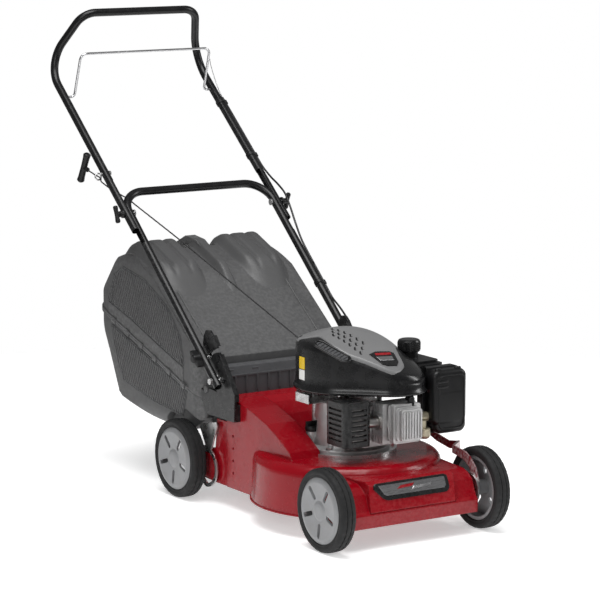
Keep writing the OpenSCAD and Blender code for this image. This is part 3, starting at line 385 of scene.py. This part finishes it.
# The rope's strands turn once in this length
ROPE_LAY = 0.02
ROPE_TWIST = 2 * math.pi / ROPE_LAY
rope_low = flexible(
    "starter_rope_low", ROPE[:9], ROPE_R, "rope_fibre",
    ROPE_TWIST)
flexible(
    "starter_rope_mid", ROPE[8:15], ROPE_R, "rope_fibre",
    ROPE_TWIST)
flexible(
    "starter_rope_top", ROPE[14:], ROPE_R, "rope_fibre",
    ROPE_TWIST)
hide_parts("starter_rope")
cable_top = flexible(
    "brake_cable_top", SHEATH[:12], SHEATH_R, "cable_sheath")
flexible(
    "brake_cable_low", SHEATH[11:], SHEATH_R, "cable_sheath")
flexible("brake_wire", WIRE, WIRE_R, "wire")
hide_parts("brake_cable")

# ---------------------------------------------------------------- tyres

TYRE_STEPS = 144
TREAD_DEPTH = 0.0016
# One narrow groove across the tread every so many steps, and none nearer the middle than this
BLOCK_STEPS, TREAD_MIDDLE = 4, 0.004
TYRE_HUB_R, TYRE_R, SHOULDER_R = 0.071, 0.09, 0.0825
# The two grooves round the tyre are this deep
RING_GROOVE = 0.0022
# Faces that meet at a sharper angle than this keep their edge
SPLIT_ANGLE = math.radians(40)


def tyre_section(half):
    """Points of the tyre's section as (radius, offset along the axle, share of tread depth)."""
    side = [(TYRE_HUB_R, half - 0.0025, 0), (TYRE_HUB_R + 0.001, half - 0.0016, 0)]
    side += [(0.0745, half - 0.0008, 0), (0.0765, half - 0.0013, 0), (0.0785, half - 0.0002, 0)]
    side += [(SHOULDER_R, half, 0)]
    for k in range(1, 6):
        angle = math.radians(18 * k)
        side.append((SHOULDER_R + 0.007 * math.sin(angle), half - 0.0075 * (1 - math.cos(angle)), k / 6))
    tread = [(TYRE_R, half - 0.0105, 1), (TYRE_R, 0.0072, 1), (TYRE_R - RING_GROOVE, 0.0066, 0)]
    tread += [(TYRE_R - RING_GROOVE, 0.0052, 0), (TYRE_R, 0.0046, 1), (TYRE_R, 0.0006, 1)]
    upper = side + tread
    return upper + [(r, -x, s) for r, x, s in reversed(upper)]


def make_tyre(name, body):
    """One tyre, in place of its CAD node: the section above turned round the axle, with cut tread blocks."""
    low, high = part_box(name)
    centre = (low + high) / 2
    half = (high.x - low.x) / 2
    section = tyre_section(half)
    mesh = bmesh.new()
    rings = []
    for i in range(TYRE_STEPS):
        angle = 2 * math.pi * i / TYRE_STEPS
        ring = []
        for r, x, share in section:
            # the grooves of the two sides are staggered by half a block
            turned = i + (BLOCK_STEPS // 2 if x < 0 else 0)
            groove = turned % BLOCK_STEPS == 0 and abs(x) > TREAD_MIDDLE
            radius = r - (TREAD_DEPTH * share if groove else 0)
            spoke = Vector((x, radius * math.cos(angle), radius * math.sin(angle)))
            ring.append(mesh.verts.new(centre + spoke))
        rings.append(ring)
    count = len(section)
    for i in range(TYRE_STEPS):
        a, b = rings[i], rings[(i + 1) % TYRE_STEPS]
        for k in range(count):
            mesh.faces.new((a[k], a[(k + 1) % count], b[(k + 1) % count], b[k]))
    piece = finished(mesh, f"{name}_tread", body, "tread_rubber", [name])
    piece.modifiers.new("edges", "EDGE_SPLIT").split_angle = SPLIT_ANGLE


for place in ("front_right", "front_left", "rear_right", "rear_left"):
    make_tyre(f"tyre_{place}", f"wheel_{place}")

# ---------------------------------------------------------------- engine shroud

# Plan of the shroud, as in part.scad: two round ends and everything between them
SHROUD_A, SHROUD_A_R = (0, -80), 112
SHROUD_B, SHROUD_B_R = (50, -175), 75
SHROUD_MIDDLE = (20, -118)
# Its crown: height, how far it has fallen at the round end's edge, how much more per mm to the left, and
# the slope outside it
CROWN_Z, CROWN_FALL, CROWN_LEAN, RIM_SLOPE = 425, 34, 0.13, 0.64
# Its front: a plane through this (y, z) with this slope, blended over this many mm
FRONT_POINT, FRONT_SLOPE, FRONT_BLEND = (-110, 419), 0.495, 26
# Circles that stand for the plan between its two ends
PLAN_STEPS = 32
# Rings across a dome's top, crowded towards its edge
DOME_RINGS, DOME_CROWDING = 28, 0.8


def in_shroud(x, y):
    """Inside the shroud's plan, as the circles between its two round ends."""
    for k in range(PLAN_STEPS + 1):
        t = k / PLAN_STEPS
        cx = SHROUD_A[0] + (SHROUD_B[0] - SHROUD_A[0]) * t
        cy = SHROUD_A[1] + (SHROUD_B[1] - SHROUD_A[1]) * t
        if math.hypot(x - cx, y - cy) <= SHROUD_A_R + (SHROUD_B_R - SHROUD_A_R) * t:
            return True
    return False


def reach(inside, centre, angle, longest=220):
    """How far a shape reaches from its centre in one direction."""
    low, high = 0, longest
    for _ in range(24):
        middle = (low + high) / 2
        if inside(centre[0] + middle * math.cos(angle), centre[1] + middle * math.sin(angle)):
            low = middle
        else:
            high = middle
    return low


def soft_min(a, b, width):
    """The smaller of two heights, with a soft change from one to the other."""
    h = max(width - abs(a - b), 0) / width
    return min(a, b) - h * h * width / 4


def engine_top(x, y):
    """Height of the shroud's top: a crown that falls more to the left, and a slope down to the front."""
    r = math.hypot(x, y - SHROUD_A[1])
    fall = CROWN_FALL + CROWN_LEAN * x
    if r < SHROUD_A_R:
        crown = CROWN_Z - fall * (r / SHROUD_A_R) ** 2
    else:
        crown = CROWN_Z - fall - (r - SHROUD_A_R) * RIM_SLOPE
    return soft_min(crown, FRONT_POINT[1] + (y - FRONT_POINT[0]) * FRONT_SLOPE, FRONT_BLEND)


def dome(name, centre, reaches, height, edge_r, skirt, thick, slot, replaces=()):
    """A closed shell: its top follows height, its edge is round, and skirt lists (outwards, z) below it."""
    steps = len(reaches)
    rings = []
    for inner in (0, thick):
        layer = []
        for k in range(DOME_RINGS + 1):
            share = (k / DOME_RINGS) ** DOME_CROWDING
            ring = []
            for i, longest in enumerate(reaches):
                angle = 2 * math.pi * i / steps
                r = share * (longest - inner)
                x, y = centre[0] + r * math.cos(angle), centre[1] + r * math.sin(angle)
                gap = longest - inner - r
                drop = edge_r - math.sqrt(max(edge_r ** 2 - (edge_r - gap) ** 2, 0)) if gap < edge_r else 0
                ring.append(at(x, y, height(x, y) - drop - inner))
            layer.append(ring if k else ring[:1])
        for out, z in skirt:
            ring = []
            for i, longest in enumerate(reaches):
                angle = 2 * math.pi * i / steps
                r = longest - inner + out
                x, y = centre[0] + r * math.cos(angle), centre[1] + r * math.sin(angle)
                low = z if z > 0 else height(x, y) - edge_r + z
                ring.append(at(x, y, low + (inner * 0.4 if z > 0 and inner else 0)))
            layer.append(ring)
        rings += layer if not inner else layer[::-1]
    mesh = bmesh.new()
    made = [[mesh.verts.new(point) for point in ring] for ring in rings]
    for a, b in zip(made, made[1:]):
        for i in range(steps):
            j = (i + 1) % steps
            if len(a) == 1:
                mesh.faces.new((a[0], b[i], b[j]))
            elif len(b) == 1:
                mesh.faces.new((a[i], b[0], a[j]))
            else:
                mesh.faces.new((a[i], b[i], b[j], a[j]))
    return finished(mesh, name, "chassis", slot, replaces)


def smoothed(values, passes):
    """Values round a closed curve, each averaged with its neighbours, passes times."""
    n = len(values)
    for _ in range(passes):
        values = [(values[i - 1] + 2 * values[i] + values[(i + 1) % n]) / 4 for i in range(n)]
    return values


SHROUD_STEPS = 192
SHROUD_EDGE_R, SHROUD_WALL = 9, 2.5
SHROUD_SKIRT = (
    (0.4, -6), (0.6, 330), (0.8, 318), (1.6, 311), (3.2, 307), (5.2, 304.5), (5.8, 302), (5.4, 298.5))
shroud_reach = [
    reach(in_shroud, SHROUD_MIDDLE, 2 * math.pi * i / SHROUD_STEPS) for i in range(SHROUD_STEPS)]
dome(
    "shroud_shell", SHROUD_MIDDLE, shroud_reach, engine_top, SHROUD_EDGE_R, SHROUD_SKIRT, SHROUD_WALL,
    "gloss_black", ["blower_shroud"])

# Outline of the grey cover: narrow round the badge in front, full width behind
COVER_OUTLINE = (
    (4, -243), (33, -238), (59, -217), (70, -180), (80, -152), (100, -128), (130, -100), (130, 60),
    (-130, 60), (-130, -66), (-74, -66), (-76, -104), (-74, -143), (-59, -178), (-36, -207), (-14, -234))
COVER_MIDDLE = (8, -120)
COVER_EDGE_R, COVER_WALL, COVER_SMOOTHING = 3.4, 1.6, 5
COVER_SKIRT = ((0.3, -2.5), (-0.6, -6), (-2, -7))
# The cover stands this far above the shroud, and dips towards its rim
COVER_LIFT, COVER_DIP = 3.2, 5


def in_cover(x, y):
    """Inside the cover's outline and a little inside the shroud's."""
    inside = False
    for (x0, y0), (x1, y1) in zip(COVER_OUTLINE, COVER_OUTLINE[1:] + COVER_OUTLINE[:1]):
        if (y0 > y) != (y1 > y) and x < x0 + (y - y0) * (x1 - x0) / (y1 - y0):
            inside = not inside
    wider = 1.012
    return inside and in_shroud(
        SHROUD_MIDDLE[0] + (x - SHROUD_MIDDLE[0]) * wider, SHROUD_MIDDLE[1] + (y - SHROUD_MIDDLE[1]) * wider)


def cover_top(x, y):
    """Height of the cover's top."""
    outwards = math.hypot((x - 15) / 118, (y + 105) / 125)
    return engine_top(x, y) + COVER_LIFT - COVER_DIP * max(0, outwards - 0.85)


cover_reach = smoothed(
    [reach(in_cover, COVER_MIDDLE, 2 * math.pi * i / SHROUD_STEPS) for i in range(SHROUD_STEPS)],
    COVER_SMOOTHING)
dome(
    "cover_shell", COVER_MIDDLE, cover_reach, cover_top, COVER_EDGE_R, COVER_SKIRT, COVER_WALL,
    "cover_plastic", ["shroud_cover"])


def surface_frame(x, y, height, heading):
    """Axes that lie on a height surface at a point, with the first one along heading (degrees)."""
    step = 1.0
    slope_x = (height(x + step, y) - height(x - step, y)) / (2 * step)
    slope_y = (height(x, y + step) - height(x, y - step)) / (2 * step)
    normal = Vector((-slope_x, -slope_y, 1)).normalized()
    ahead = Vector((math.cos(math.radians(heading)), math.sin(math.radians(heading)), 0))
    ahead = (ahead - normal * ahead.dot(normal)).normalized()
    return at(x, y, height(x, y)), ahead, normal.cross(ahead), normal


def raised_shape(mesh, frame_at, outline, low, high, round_by=0.0):
    """Adds a closed plate to mesh: outline in mm on the frame's plane, from low to high above it."""
    origin, ahead, across, normal = frame_at
    levels = [(low, 0), (high - round_by, 0), (high, -round_by)] if round_by else [(low, 0), (high, 0)]
    count = len(outline)
    middle = Vector((sum(p[0] for p in outline) / count, sum(p[1] for p in outline) / count))
    rings = []
    for z, shrink in levels:
        ring = []
        for p in outline:
            q = Vector(p) - middle
            q = middle + q * max(0.1, (q.length + shrink) / q.length)
            ring.append(mesh.verts.new(origin + (ahead * q.x + across * q.y + normal * z) * MM))
        rings.append(ring)
    for a, b in zip(rings, rings[1:]):
        for k in range(count):
            mesh.faces.new((a[k], a[(k + 1) % count], b[(k + 1) % count], b[k]))
    mesh.faces.new(rings[0][::-1])
    mesh.faces.new(rings[-1])


def oblong(length, width, sides=14):
    """Outline of a slot with round ends."""
    points = []
    for end in (1, -1):
        for k in range(sides // 2 + 1):
            angle = math.pi * (k / (sides // 2) - 0.5) + (0 if end > 0 else math.pi)
            points.append((
                end * (length - width) / 2 + width / 2 * math.cos(angle), width / 2 * math.sin(angle)))
    return points


# Rows of the cover's slots: the first and the last slot of each
SLOT_ROWS = (((-31, -68), (-2, -145)), ((-40, -84), (-16, -162)), ((-49, -100), (-29, -176)))
SLOTS_PER_ROW = 6
SLOT_HEADING = 66
VENT_BARS, VENT_BAR_PITCH = 9, 9
# The eyelet lies this far along the rope from its start
EYELET_AHEAD, EYELET_R, EYELET_STEPS = 0.016, 0.0075, 32


def make_cover_details():
    """The cover's slots, as dark inlays of painted shade beside grey hoods, its badge, the vent beside it,
    and the starter rope's eyelet.
    """
    slots = bmesh.new()
    hoods = bmesh.new()
    # each slot is a dark inlay that paints the shade inside the opening, with a raised grey hood beside it
    for (x0, y0), (x1, y1) in SLOT_ROWS:
        for i in range(SLOTS_PER_ROW):
            x = x0 + (x1 - x0) * i / (SLOTS_PER_ROW - 1)
            y = y0 + (y1 - y0) * i / (SLOTS_PER_ROW - 1)
            raised_shape(slots, surface_frame(x, y, cover_top, SLOT_HEADING), oblong(13, 5), -1, 0.3)
            hood = surface_frame(x + 3.6, y + 1.2, cover_top, SLOT_HEADING)
            raised_shape(hoods, hood, oblong(14, 3, 10), -1, 1.7, 1.1)
    finished(hoods, "cover_hoods", "chassis", "cover_plastic")
    piece = finished(slots, "cover_slot_shade", "chassis", "black_plastic")
    piece.modifiers.new("edges", "EDGE_SPLIT").split_angle = SPLIT_ANGLE
    # badge: a dark shield with a plain silver bar and a red one, and no lettering
    shield = [(-30, 14), (-11, 23), (25, 23), (34, 17), (30, -13), (19, -27), (-4, -28), (-16, -22)]
    spot = surface_frame(17, -198, cover_top, -4)
    for name, outline, low, high, slot in (
        ("badge_shield", shield, -2, 1.6, "gloss_black"),
        ("badge_bar", [(-19, 3), (23, 5), (21, -8), (-13, -10)], 0, 2.2, "wire"),
        ("badge_stripe", [(-16, 16), (25, 18), (24, 10), (-18, 8)], 0, 2.2, "deck_paint"),
    ):
        mesh = bmesh.new()
        raised_shape(mesh, spot, outline, low, high, 0.6)
        piece = finished(mesh, name, "chassis", slot, ["cover_badge"] if name == "badge_shield" else ())
        piece.data.shade_flat()
    # air vent in the right side of the top: a rim round dark bars
    spot = surface_frame(-86, -152, engine_top, -74)
    origin, ahead, across, normal = spot
    edge = [origin + (ahead * a + across * b + normal * 0.4) * MM for a, b in oblong(94, 25, 32)]
    finished(tube(edge + edge[:2], 0.0024, 10), "side_vent_rim", "chassis", "gloss_black")
    well = bmesh.new()
    raised_shape(well, spot, oblong(84, 16, 28), 0, 1.5)
    finished(well, "side_vent_well", "chassis", "flap_plastic").data.shade_flat()
    bars = bmesh.new()
    for k in range(VENT_BARS):
        middle = origin + ahead * (k - VENT_BARS // 2) * VENT_BAR_PITCH * MM
        raised_shape(bars, (middle, across, ahead, normal), oblong(13, 2), 1, 2.4)
    finished(bars, "side_vent_bars", "chassis", "black_plastic").data.shade_flat()
    # eyelet where the starter rope leaves
    along = (ROPE[1] - ROPE[0]).normalized()
    side = along.cross(Vector((0, 0, 1))).normalized()
    up = along.cross(side)
    middle = ROPE[0] + along * EYELET_AHEAD
    ring = [middle + (side * math.cos(a) + up * math.sin(a)) * EYELET_R for a in (
        2 * math.pi * k / EYELET_STEPS for k in range(EYELET_STEPS + 1))]
    finished(tube(ring, 0.0028, 10), "rope_eyelet", "chassis", "black_plastic")


# Name, colour, bottom and top of each label, and the angle that both cover round the shroud
LABELS = (("label_yellow", (0.75, 0.5, 0.01), 346, 372), ("label_white", (0.78, 0.78, 0.76), 322, 344))
LABEL_START, LABEL_SWEEP, LABEL_STEPS = 170, 12, 8


def make_labels():
    """Two plain colour labels on the shroud's right rear side."""
    for name, colour, low, high in LABELS:
        MATERIALS[name] = finish_material(name, colour, 0.35, spread=0.05, grain=900, grain_depth=0.00002)
        mesh = bmesh.new()
        grid = []
        for z in (low, high):
            for lift in (0.2, 1.3):
                grid.append([])
                for k in range(LABEL_STEPS + 1):
                    angle = math.radians(LABEL_START + LABEL_SWEEP * k / LABEL_STEPS)
                    r = SHROUD_A_R + lift
                    grid[-1].append(mesh.verts.new(at(
                        SHROUD_A[0] + r * math.cos(angle), SHROUD_A[1] + r * math.sin(angle), z)))
        order = (grid[0], grid[1], grid[3], grid[2])
        for a, b in zip(order, order[1:] + order[:1]):
            for k in range(LABEL_STEPS):
                mesh.faces.new((a[k], a[k + 1], b[k + 1], b[k]))
        for k in (0, LABEL_STEPS):
            mesh.faces.new([ring[k] for ring in order])
        finished(mesh, name, "chassis", name).data.shade_flat()


make_cover_details()

# ---------------------------------------------------------------- air filter cover and nose badge


def soft_outline(x0, x1, z0, z1, corner):
    """Outline of a rectangle with round corners."""
    points = []
    for cx, cz, start in (
        (x1 - corner, z1 - corner, 0), (x0 + corner, z1 - corner, 90), (x0 + corner, z0 + corner, 180),
        (x1 - corner, z0 + corner, 270)):
        for k in range(9):
            angle = math.radians(start + 90 * k / 8)
            points.append((cx + corner * math.cos(angle), cz + corner * math.sin(angle)))
    return points


def add_pillow(mesh, x0, x1, z0, z1, corner, y_back, y_front, rounding):
    """Adds a closed box whose front edge, towards -Y, is well rounded."""
    rings = []
    levels = [(0, y_back), (0, y_front + rounding)]
    for k in range(1, 8):
        angle = math.radians(90 * k / 7)
        levels.append((rounding * (1 - math.cos(angle)), y_front + rounding * (1 - math.sin(angle))))
    for inset, y in levels:
        outline = soft_outline(x0 + inset, x1 - inset, z0 + inset, z1 - inset, corner - inset)
        rings.append([mesh.verts.new(at(x, y, z)) for x, z in outline])
    for a, b in zip(rings, rings[1:]):
        for k in range(len(a)):
            mesh.faces.new((a[k], a[(k + 1) % len(a)], b[(k + 1) % len(a)], b[k]))
    mesh.faces.new(rings[0])
    mesh.faces.new(rings[-1][::-1])


FILTER_BACK_Y, FILTER_FRONT_Y, FILTER_TOP_Z = -206, -243, 343
FILTER_CORNER, FILTER_ROUNDING = 17, 10


def make_filter_cover():
    """The air filter's cover: a wide upper box and a narrower lower one, with ridges and latches."""
    cover = bmesh.new()
    add_pillow(
        cover, 118, 207, 222, FILTER_TOP_Z, FILTER_CORNER, FILTER_BACK_Y, FILTER_FRONT_Y, FILTER_ROUNDING)
    add_pillow(
        cover, 126, 207, 202, 300, FILTER_CORNER, FILTER_BACK_Y, FILTER_FRONT_Y + 1, FILTER_ROUNDING)
    finished(cover, "filter_cover", "chassis", "black_plastic", ["air_filter_cover"])
    trim = bmesh.new()
    right, up, front = Vector((1, 0, 0)), Vector((0, 0, 1)), Vector((0, -1, 0))
    for z in (318, 306):
        raised_shape(trim, (at(140, FILTER_FRONT_Y, z), right, up, front), oblong(30, 5), -1, 1.6, 1)
    for x in (136, 188):
        latch = (at(x, -232, FILTER_TOP_Z), right, Vector((0, 1, 0)), up)
        raised_shape(trim, latch, oblong(16, 9), -3, 3.2, 1.5)
    finished(trim, "filter_trim", "chassis", "black_plastic").data.shade_flat()
    rim = [at(x, -242.7, z) for x, z in soft_outline(132, 198, 214, 331, 12)]
    finished(tube(rim + rim[:2], 0.0016, 8), "filter_rim", "chassis", "black_plastic")


def make_nose_badge():
    """A silver plate in a dark surround, with plain stripes and no lettering."""
    across = Vector((1, 0, 0))
    normal = Vector((0, -0.9825, 0.1863)).normalized()
    spot = (at(-7, -338.3, 121), across, normal.cross(across), normal)
    surround = [
        (-97, 15), (-92, 19), (84, 20), (92, 16), (97, -8), (94, -15), (87, -19), (-64, -19), (-74, -15),
        (-97, 7)]
    plate = [(-86, 14), (82, 15), (85, 12), (87, -5), (83, -9), (-66, -9), (-72, -6)]
    for name, outline, low, high, slot in (
        ("nose_badge_surround", surround, -1.5, 2.4, "gloss_black"),
        ("nose_badge_plate", plate, 1, 3.2, "badge_metal"),
        ("nose_badge_stripe", [(-30, 9), (6, 11), (0, 4), (-40, 2)], 2, 3.9, "deck_paint"),
        ("nose_badge_bar", [(4, 4), (52, 8), (48, 1), (-2, -3)], 2, 3.9, "wire"),
    ):
        mesh = bmesh.new()
        raised_shape(mesh, spot, outline, low, high, 0.7)
        replaced = ["nose_badge"] if name == "nose_badge_surround" else ()
        finished(mesh, name, "chassis", slot, replaced).data.shade_flat()


make_filter_cover()
make_nose_badge()

# ---------------------------------------------------------------- grass box details

# Half of the box's width, and outlines on its sides as (y, z)
BOX_HALF = 190
UPPER_PANEL = (
    (652, 407), (618, 473), (582, 494), (476, 476), (370, 425), (315, 364), (300, 300), (410, 334),
    (541, 377))
SIDE_BELT = ((303, 262), (650, 375), (650, 403), (541, 374), (410, 331), (303, 298))
LOWER_PANEL = (
    (637, 350), (503, 311), (388, 278), (285, 249), (306, 185), (443, 197), (583, 225), (614, 280))
# The slats: direction, a point of the first one, pitch along Y, width, and the shortest that is made
SLAT_LEAN = Vector((0.39, 0.92)).normalized()
SLAT_FOOT, SLAT_PITCH, SLAT_WIDTH, SHORTEST_SLAT = (290, 240), 9.2, 4.6, 12
# The seam between the two halves: its height at y 200, and its slope
SEAM_Z, SEAM_SLOPE = 225, 0.325
# The clips on it: how many, the first one's y, their pitch, and how far out they sit
SEAM_CLIPS, CLIP_Y, CLIP_PITCH, CLIP_X = 6, 300, 64, 193


def chord(panel, origin, ahead):
    """Where a line crosses a panel's outline: the nearest and farthest crossing along it."""
    hits = []
    for p, q in zip(panel, panel[1:] + panel[:1]):
        p, q = Vector(p), Vector(q)
        edge = q - p
        cross = ahead.x * edge.y - ahead.y * edge.x
        if abs(cross) < 1e-9:
            continue
        gap = p - origin
        t = (gap.x * edge.y - gap.y * edge.x) / cross
        u = (gap.x * ahead.y - gap.y * ahead.x) / cross
        if 0 <= u <= 1:
            hits.append(t)
    return (min(hits), max(hits)) if len(hits) > 1 else None


def add_slats(mesh, panel, x, out):
    """Slanting slats across a panel, each cut to the panel's outline."""
    ahead = Vector((0, SLAT_LEAN.x, SLAT_LEAN.y))
    for i in range(-5, 50):
        foot = Vector((SLAT_FOOT[0] + SLAT_PITCH * i, SLAT_FOOT[1]))
        ends = chord(panel, foot, SLAT_LEAN)
        if not ends or ends[1] - ends[0] < SHORTEST_SLAT:
            continue
        middle = foot + SLAT_LEAN * (ends[0] + ends[1]) / 2
        raised_shape(
            mesh, (at(x, middle.x, middle.y), ahead, out.cross(ahead), out),
            oblong(ends[1] - ends[0] - 4, SLAT_WIDTH, 8), -1.2, 2.8, 1.1)


def panel_rim(panel, x):
    """A thin bead round a panel, with its corners cut short."""
    corners = [at(x, *p) for p in panel]
    points = []
    for k, point in enumerate(corners):
        before, after = corners[k - 1], corners[(k + 1) % len(corners)]
        points += [point.lerp(before, 0.06), point.lerp(after, 0.06)]
    return tube(spaced(points + points[:1], 0.02), 0.0018, 8)


def make_box_sides():
    """Slatted panels on both sides of the box, each on a darker backing plate that paints the shade between
    its slats, and the plain belt between them.
    """
    for side, x in (("right", -BOX_HALF), ("left", BOX_HALF)):
        out = Vector((-1 if x < 0 else 1, 0, 0))
        flat = (at(x, 0, 0), Vector((0, 1, 0)), Vector((0, 0, 1)), out)
        belt = bmesh.new()
        raised_shape(belt, flat, SIDE_BELT, -1.5, 1.4, 1)
        finished(belt, f"side_belt_{side}", "grass_box", "grey_plastic").data.shade_flat()
        for level, panel in (("upper", UPPER_PANEL), ("lower", LOWER_PANEL)):
            # the darker backing plate behind the slats is painted shade in the gaps between them
            back = bmesh.new()
            raised_shape(back, flat, panel, -1.5, 0.5)
            finished(back, f"panel_{level}_{side}", "grass_box", "flap_plastic").data.shade_flat()
            slats = bmesh.new()
            add_slats(slats, panel, x, out)
            finished(slats, f"slats_{level}_{side}", "grass_box", "grey_plastic").data.shade_flat()
            finished(panel_rim(panel, x), f"panel_rim_{level}_{side}", "grass_box", "grey_plastic")


# Side view of the lid, from part.scad, where the humps and ribs lie, and the offsets that blur its corners
LID = ((226, 328), (440, 487), (556, 533), (606, 513), (676, 430))
LID_BLUR = (-14, -7, 0, 7, 14)
LID_FRONT_Y, LID_RIB_X = 372, 148
PATCH_COLUMNS, PATCH_ROWS = 48, 64


def lid_height(y):
    """Height of the lid at y, with its corners softened."""
    total = 0
    for shift in LID_BLUR:
        here = y + shift
        for (y0, z0), (y1, z1) in zip(LID, LID[1:]):
            if here <= y1 or (y1, z1) == LID[-1]:
                total += z0 + (here - y0) * (z1 - z0) / (y1 - y0)
                break
    return total / len(LID_BLUR)


def smooth_step(low, high, value):
    """0 below low, 1 above high, and a smooth change between."""
    t = min(max((value - low) / (high - low), 0), 1)
    return t * t * (3 - 2 * t)


def hump_rise(x, y, x0, x1, y0, y1, rise, fade):
    """Height of a swelling above the lid: it grows from all four sides of its rectangle."""
    side = min(26, (x1 - x0) / 3)
    # the front end is round in plan: it starts later near the sides
    late = 70 * abs((2 * x - x0 - x1) / (x1 - x0)) ** 3
    edge_x = smooth_step(x0, x0 + side, x) * (1 - smooth_step(x1 - side, x1, x))
    edge_y = smooth_step(y0 + late, y0 + late + 75, y) * (1 - smooth_step(y1 - fade, y1, y))
    return rise * edge_x * edge_y


def make_lid_patch(name, x0, x1, y0, y1, rise, grooves=(), fade=50):
    """A closed swelling on the lid that grows out of its surface."""
    nx, ny = PATCH_COLUMNS, PATCH_ROWS
    mesh = bmesh.new()
    layers = []
    for top in (True, False):
        layer = []
        for j in range(ny + 1):
            y = y0 + (y1 - y0) * j / ny
            row = []
            for i in range(nx + 1):
                x = x0 + (x1 - x0) * i / nx
                lift = hump_rise(x, y, x0, x1, y0, y1, rise, fade)
                length = smooth_step(y0 + 40, y0 + 90, y) * (1 - smooth_step(y1 - 80, y1 - 40, y))
                for centre, half, depth in grooves:
                    lift -= depth * math.exp(-((x - centre) / half) ** 2) * length
                base = lid_height(y)
                row.append(mesh.verts.new(at(x, y, base + lift - 1.2 if top else base - 5)))
            layer.append(row)
        layers.append(layer)
    for layer in layers:
        for j in range(ny):
            for i in range(nx):
                mesh.faces.new((layer[j][i], layer[j][i + 1], layer[j + 1][i + 1], layer[j + 1][i]))
    top, low = layers
    border = [(0, i) for i in range(nx)] + [(j, nx) for j in range(ny)]
    border += [(ny, i) for i in range(nx, 0, -1)] + [(j, 0) for j in range(ny, 0, -1)]
    for (j0, i0), (j1, i1) in zip(border, border[1:] + border[:1]):
        mesh.faces.new((top[j0][i0], top[j1][i1], low[j1][i1], low[j0][i0]))
    finished(mesh, name, "grass_box", "grey_plastic")


def make_lid_ribs():
    """A round rib along each side of the lid."""
    for side, x in (("right", -LID_RIB_X), ("left", LID_RIB_X)):
        path = [at(x, y, lid_height(y) - 0.8) for y in range(250, 640, 12)]
        finished(tube(path, 0.0032, 10), f"lid_rib_{side}", "grass_box", "grey_plastic")


def make_seam_clips():
    """Small blocks along the seam, on both sides."""
    mesh = bmesh.new()
    for side in (-1, 1):
        out = Vector((side, 0, 0))
        ahead = Vector((0, 1, SEAM_SLOPE)).normalized()
        for k in range(SEAM_CLIPS):
            y = CLIP_Y + CLIP_PITCH * k
            z = SEAM_Z + (y - 200) * SEAM_SLOPE
            raised_shape(
                mesh, (at(side * CLIP_X, y, z), ahead, out.cross(ahead), out),
                [(-9, -6), (9, -6), (9, 6), (-9, 6)], -1, 2.6, 1)
    finished(mesh, "seam_clips", "grass_box", "grey_plastic").data.shade_flat()


make_labels()
make_box_sides()
make_lid_patch("lid_hump_left", 46, 180, LID_FRONT_Y, 645, 25, grooves=((92, 5, 9), (134, 5, 9)))
make_lid_patch("lid_hump_right", -180, -46, LID_FRONT_Y, 645, 25, grooves=((-92, 5, 9), (-134, 5, 9)))
make_lid_patch("handle_root", -21, 21, LID_FRONT_Y, 578, 21, fade=14)
make_lid_ribs()
make_seam_clips()

# ---------------------------------------------------------------- floor and light


# A round light table: its own glow keeps it white out to the edge
FLOOR_RADIUS = 1.9
FLOOR_STEPS = 96
FLOOR_GLOW = 0.44


def make_stage():
    """The round pale floor."""
    mesh = bpy.data.meshes.new("floor")
    builder = bmesh.new()
    edge = []
    for k in range(FLOOR_STEPS):
        angle = 2 * math.pi * k / FLOOR_STEPS
        edge.append(builder.verts.new((FLOOR_RADIUS * math.cos(angle), FLOOR_RADIUS * math.sin(angle), 0)))
    builder.faces.new(edge)
    builder.to_mesh(mesh)
    builder.free()
    floor = bpy.data.objects.new("floor", mesh)
    bpy.context.scene.collection.objects.link(floor)
    surface = finish_material("floor", (0.95, 0.95, 0.95), 0.7, spread=0.003, blotch=2, specular=0.1)
    shader = surface.node_tree.nodes["Principled BSDF"]
    shader.inputs["Emission Color"].default_value = (1, 1, 1, 1)
    shader.inputs["Emission Strength"].default_value = FLOOR_GLOW
    mesh.materials.append(surface)


def make_light(name, place, aim_at, size_x, size_y, power):
    """An area light, sizes in metres and power in watts."""
    data = bpy.data.lights.new(name, "AREA")
    data.shape = "RECTANGLE"
    data.size, data.size_y = size_x, size_y
    data.energy = power
    light = bpy.data.objects.new(name, data)
    bpy.context.scene.collection.objects.link(light)
    light.location = place
    light.rotation_mode = "QUATERNION"
    light.rotation_quaternion = (Vector(aim_at) - Vector(place)).to_track_quat("-Z", "Y")


# How bright the studio is for everything except the camera, which sees plain white
WORLD_LIGHT = 0.2


def make_world():
    """Soft light from all around, plain white behind the part."""
    world = bpy.data.worlds.new("studio")
    bpy.context.scene.world = world
    world.use_nodes = True
    background = world.node_tree.nodes["Background"]
    background.inputs["Color"].default_value = (1, 1, 1, 1)
    seen = add_node(world.node_tree, "ShaderNodeLightPath")
    strength = remap(world.node_tree, seen, 0, 1, WORLD_LIGHT, 1, "Is Camera Ray")
    world.node_tree.links.new(strength.outputs[0], background.inputs["Strength"])


make_stage()
make_world()
# Name, place, point aimed at, width, height, power
for light in (
    ("overhead", (-0.6, -0.8, 3.4), (0, 0, 0.3), 2.6, 2.0, 104),
    ("front_right", (-3.2, -2.6, 2.2), (0, -0.1, 0.4), 1.6, 1.6, 36),
    ("left_edge", (3.2, -1.6, 1.8), (0, 0, 0.4), 0.8, 2.0, 35),
):
    make_light(*light)
bpy.context.scene.view_settings.view_transform = "Standard"
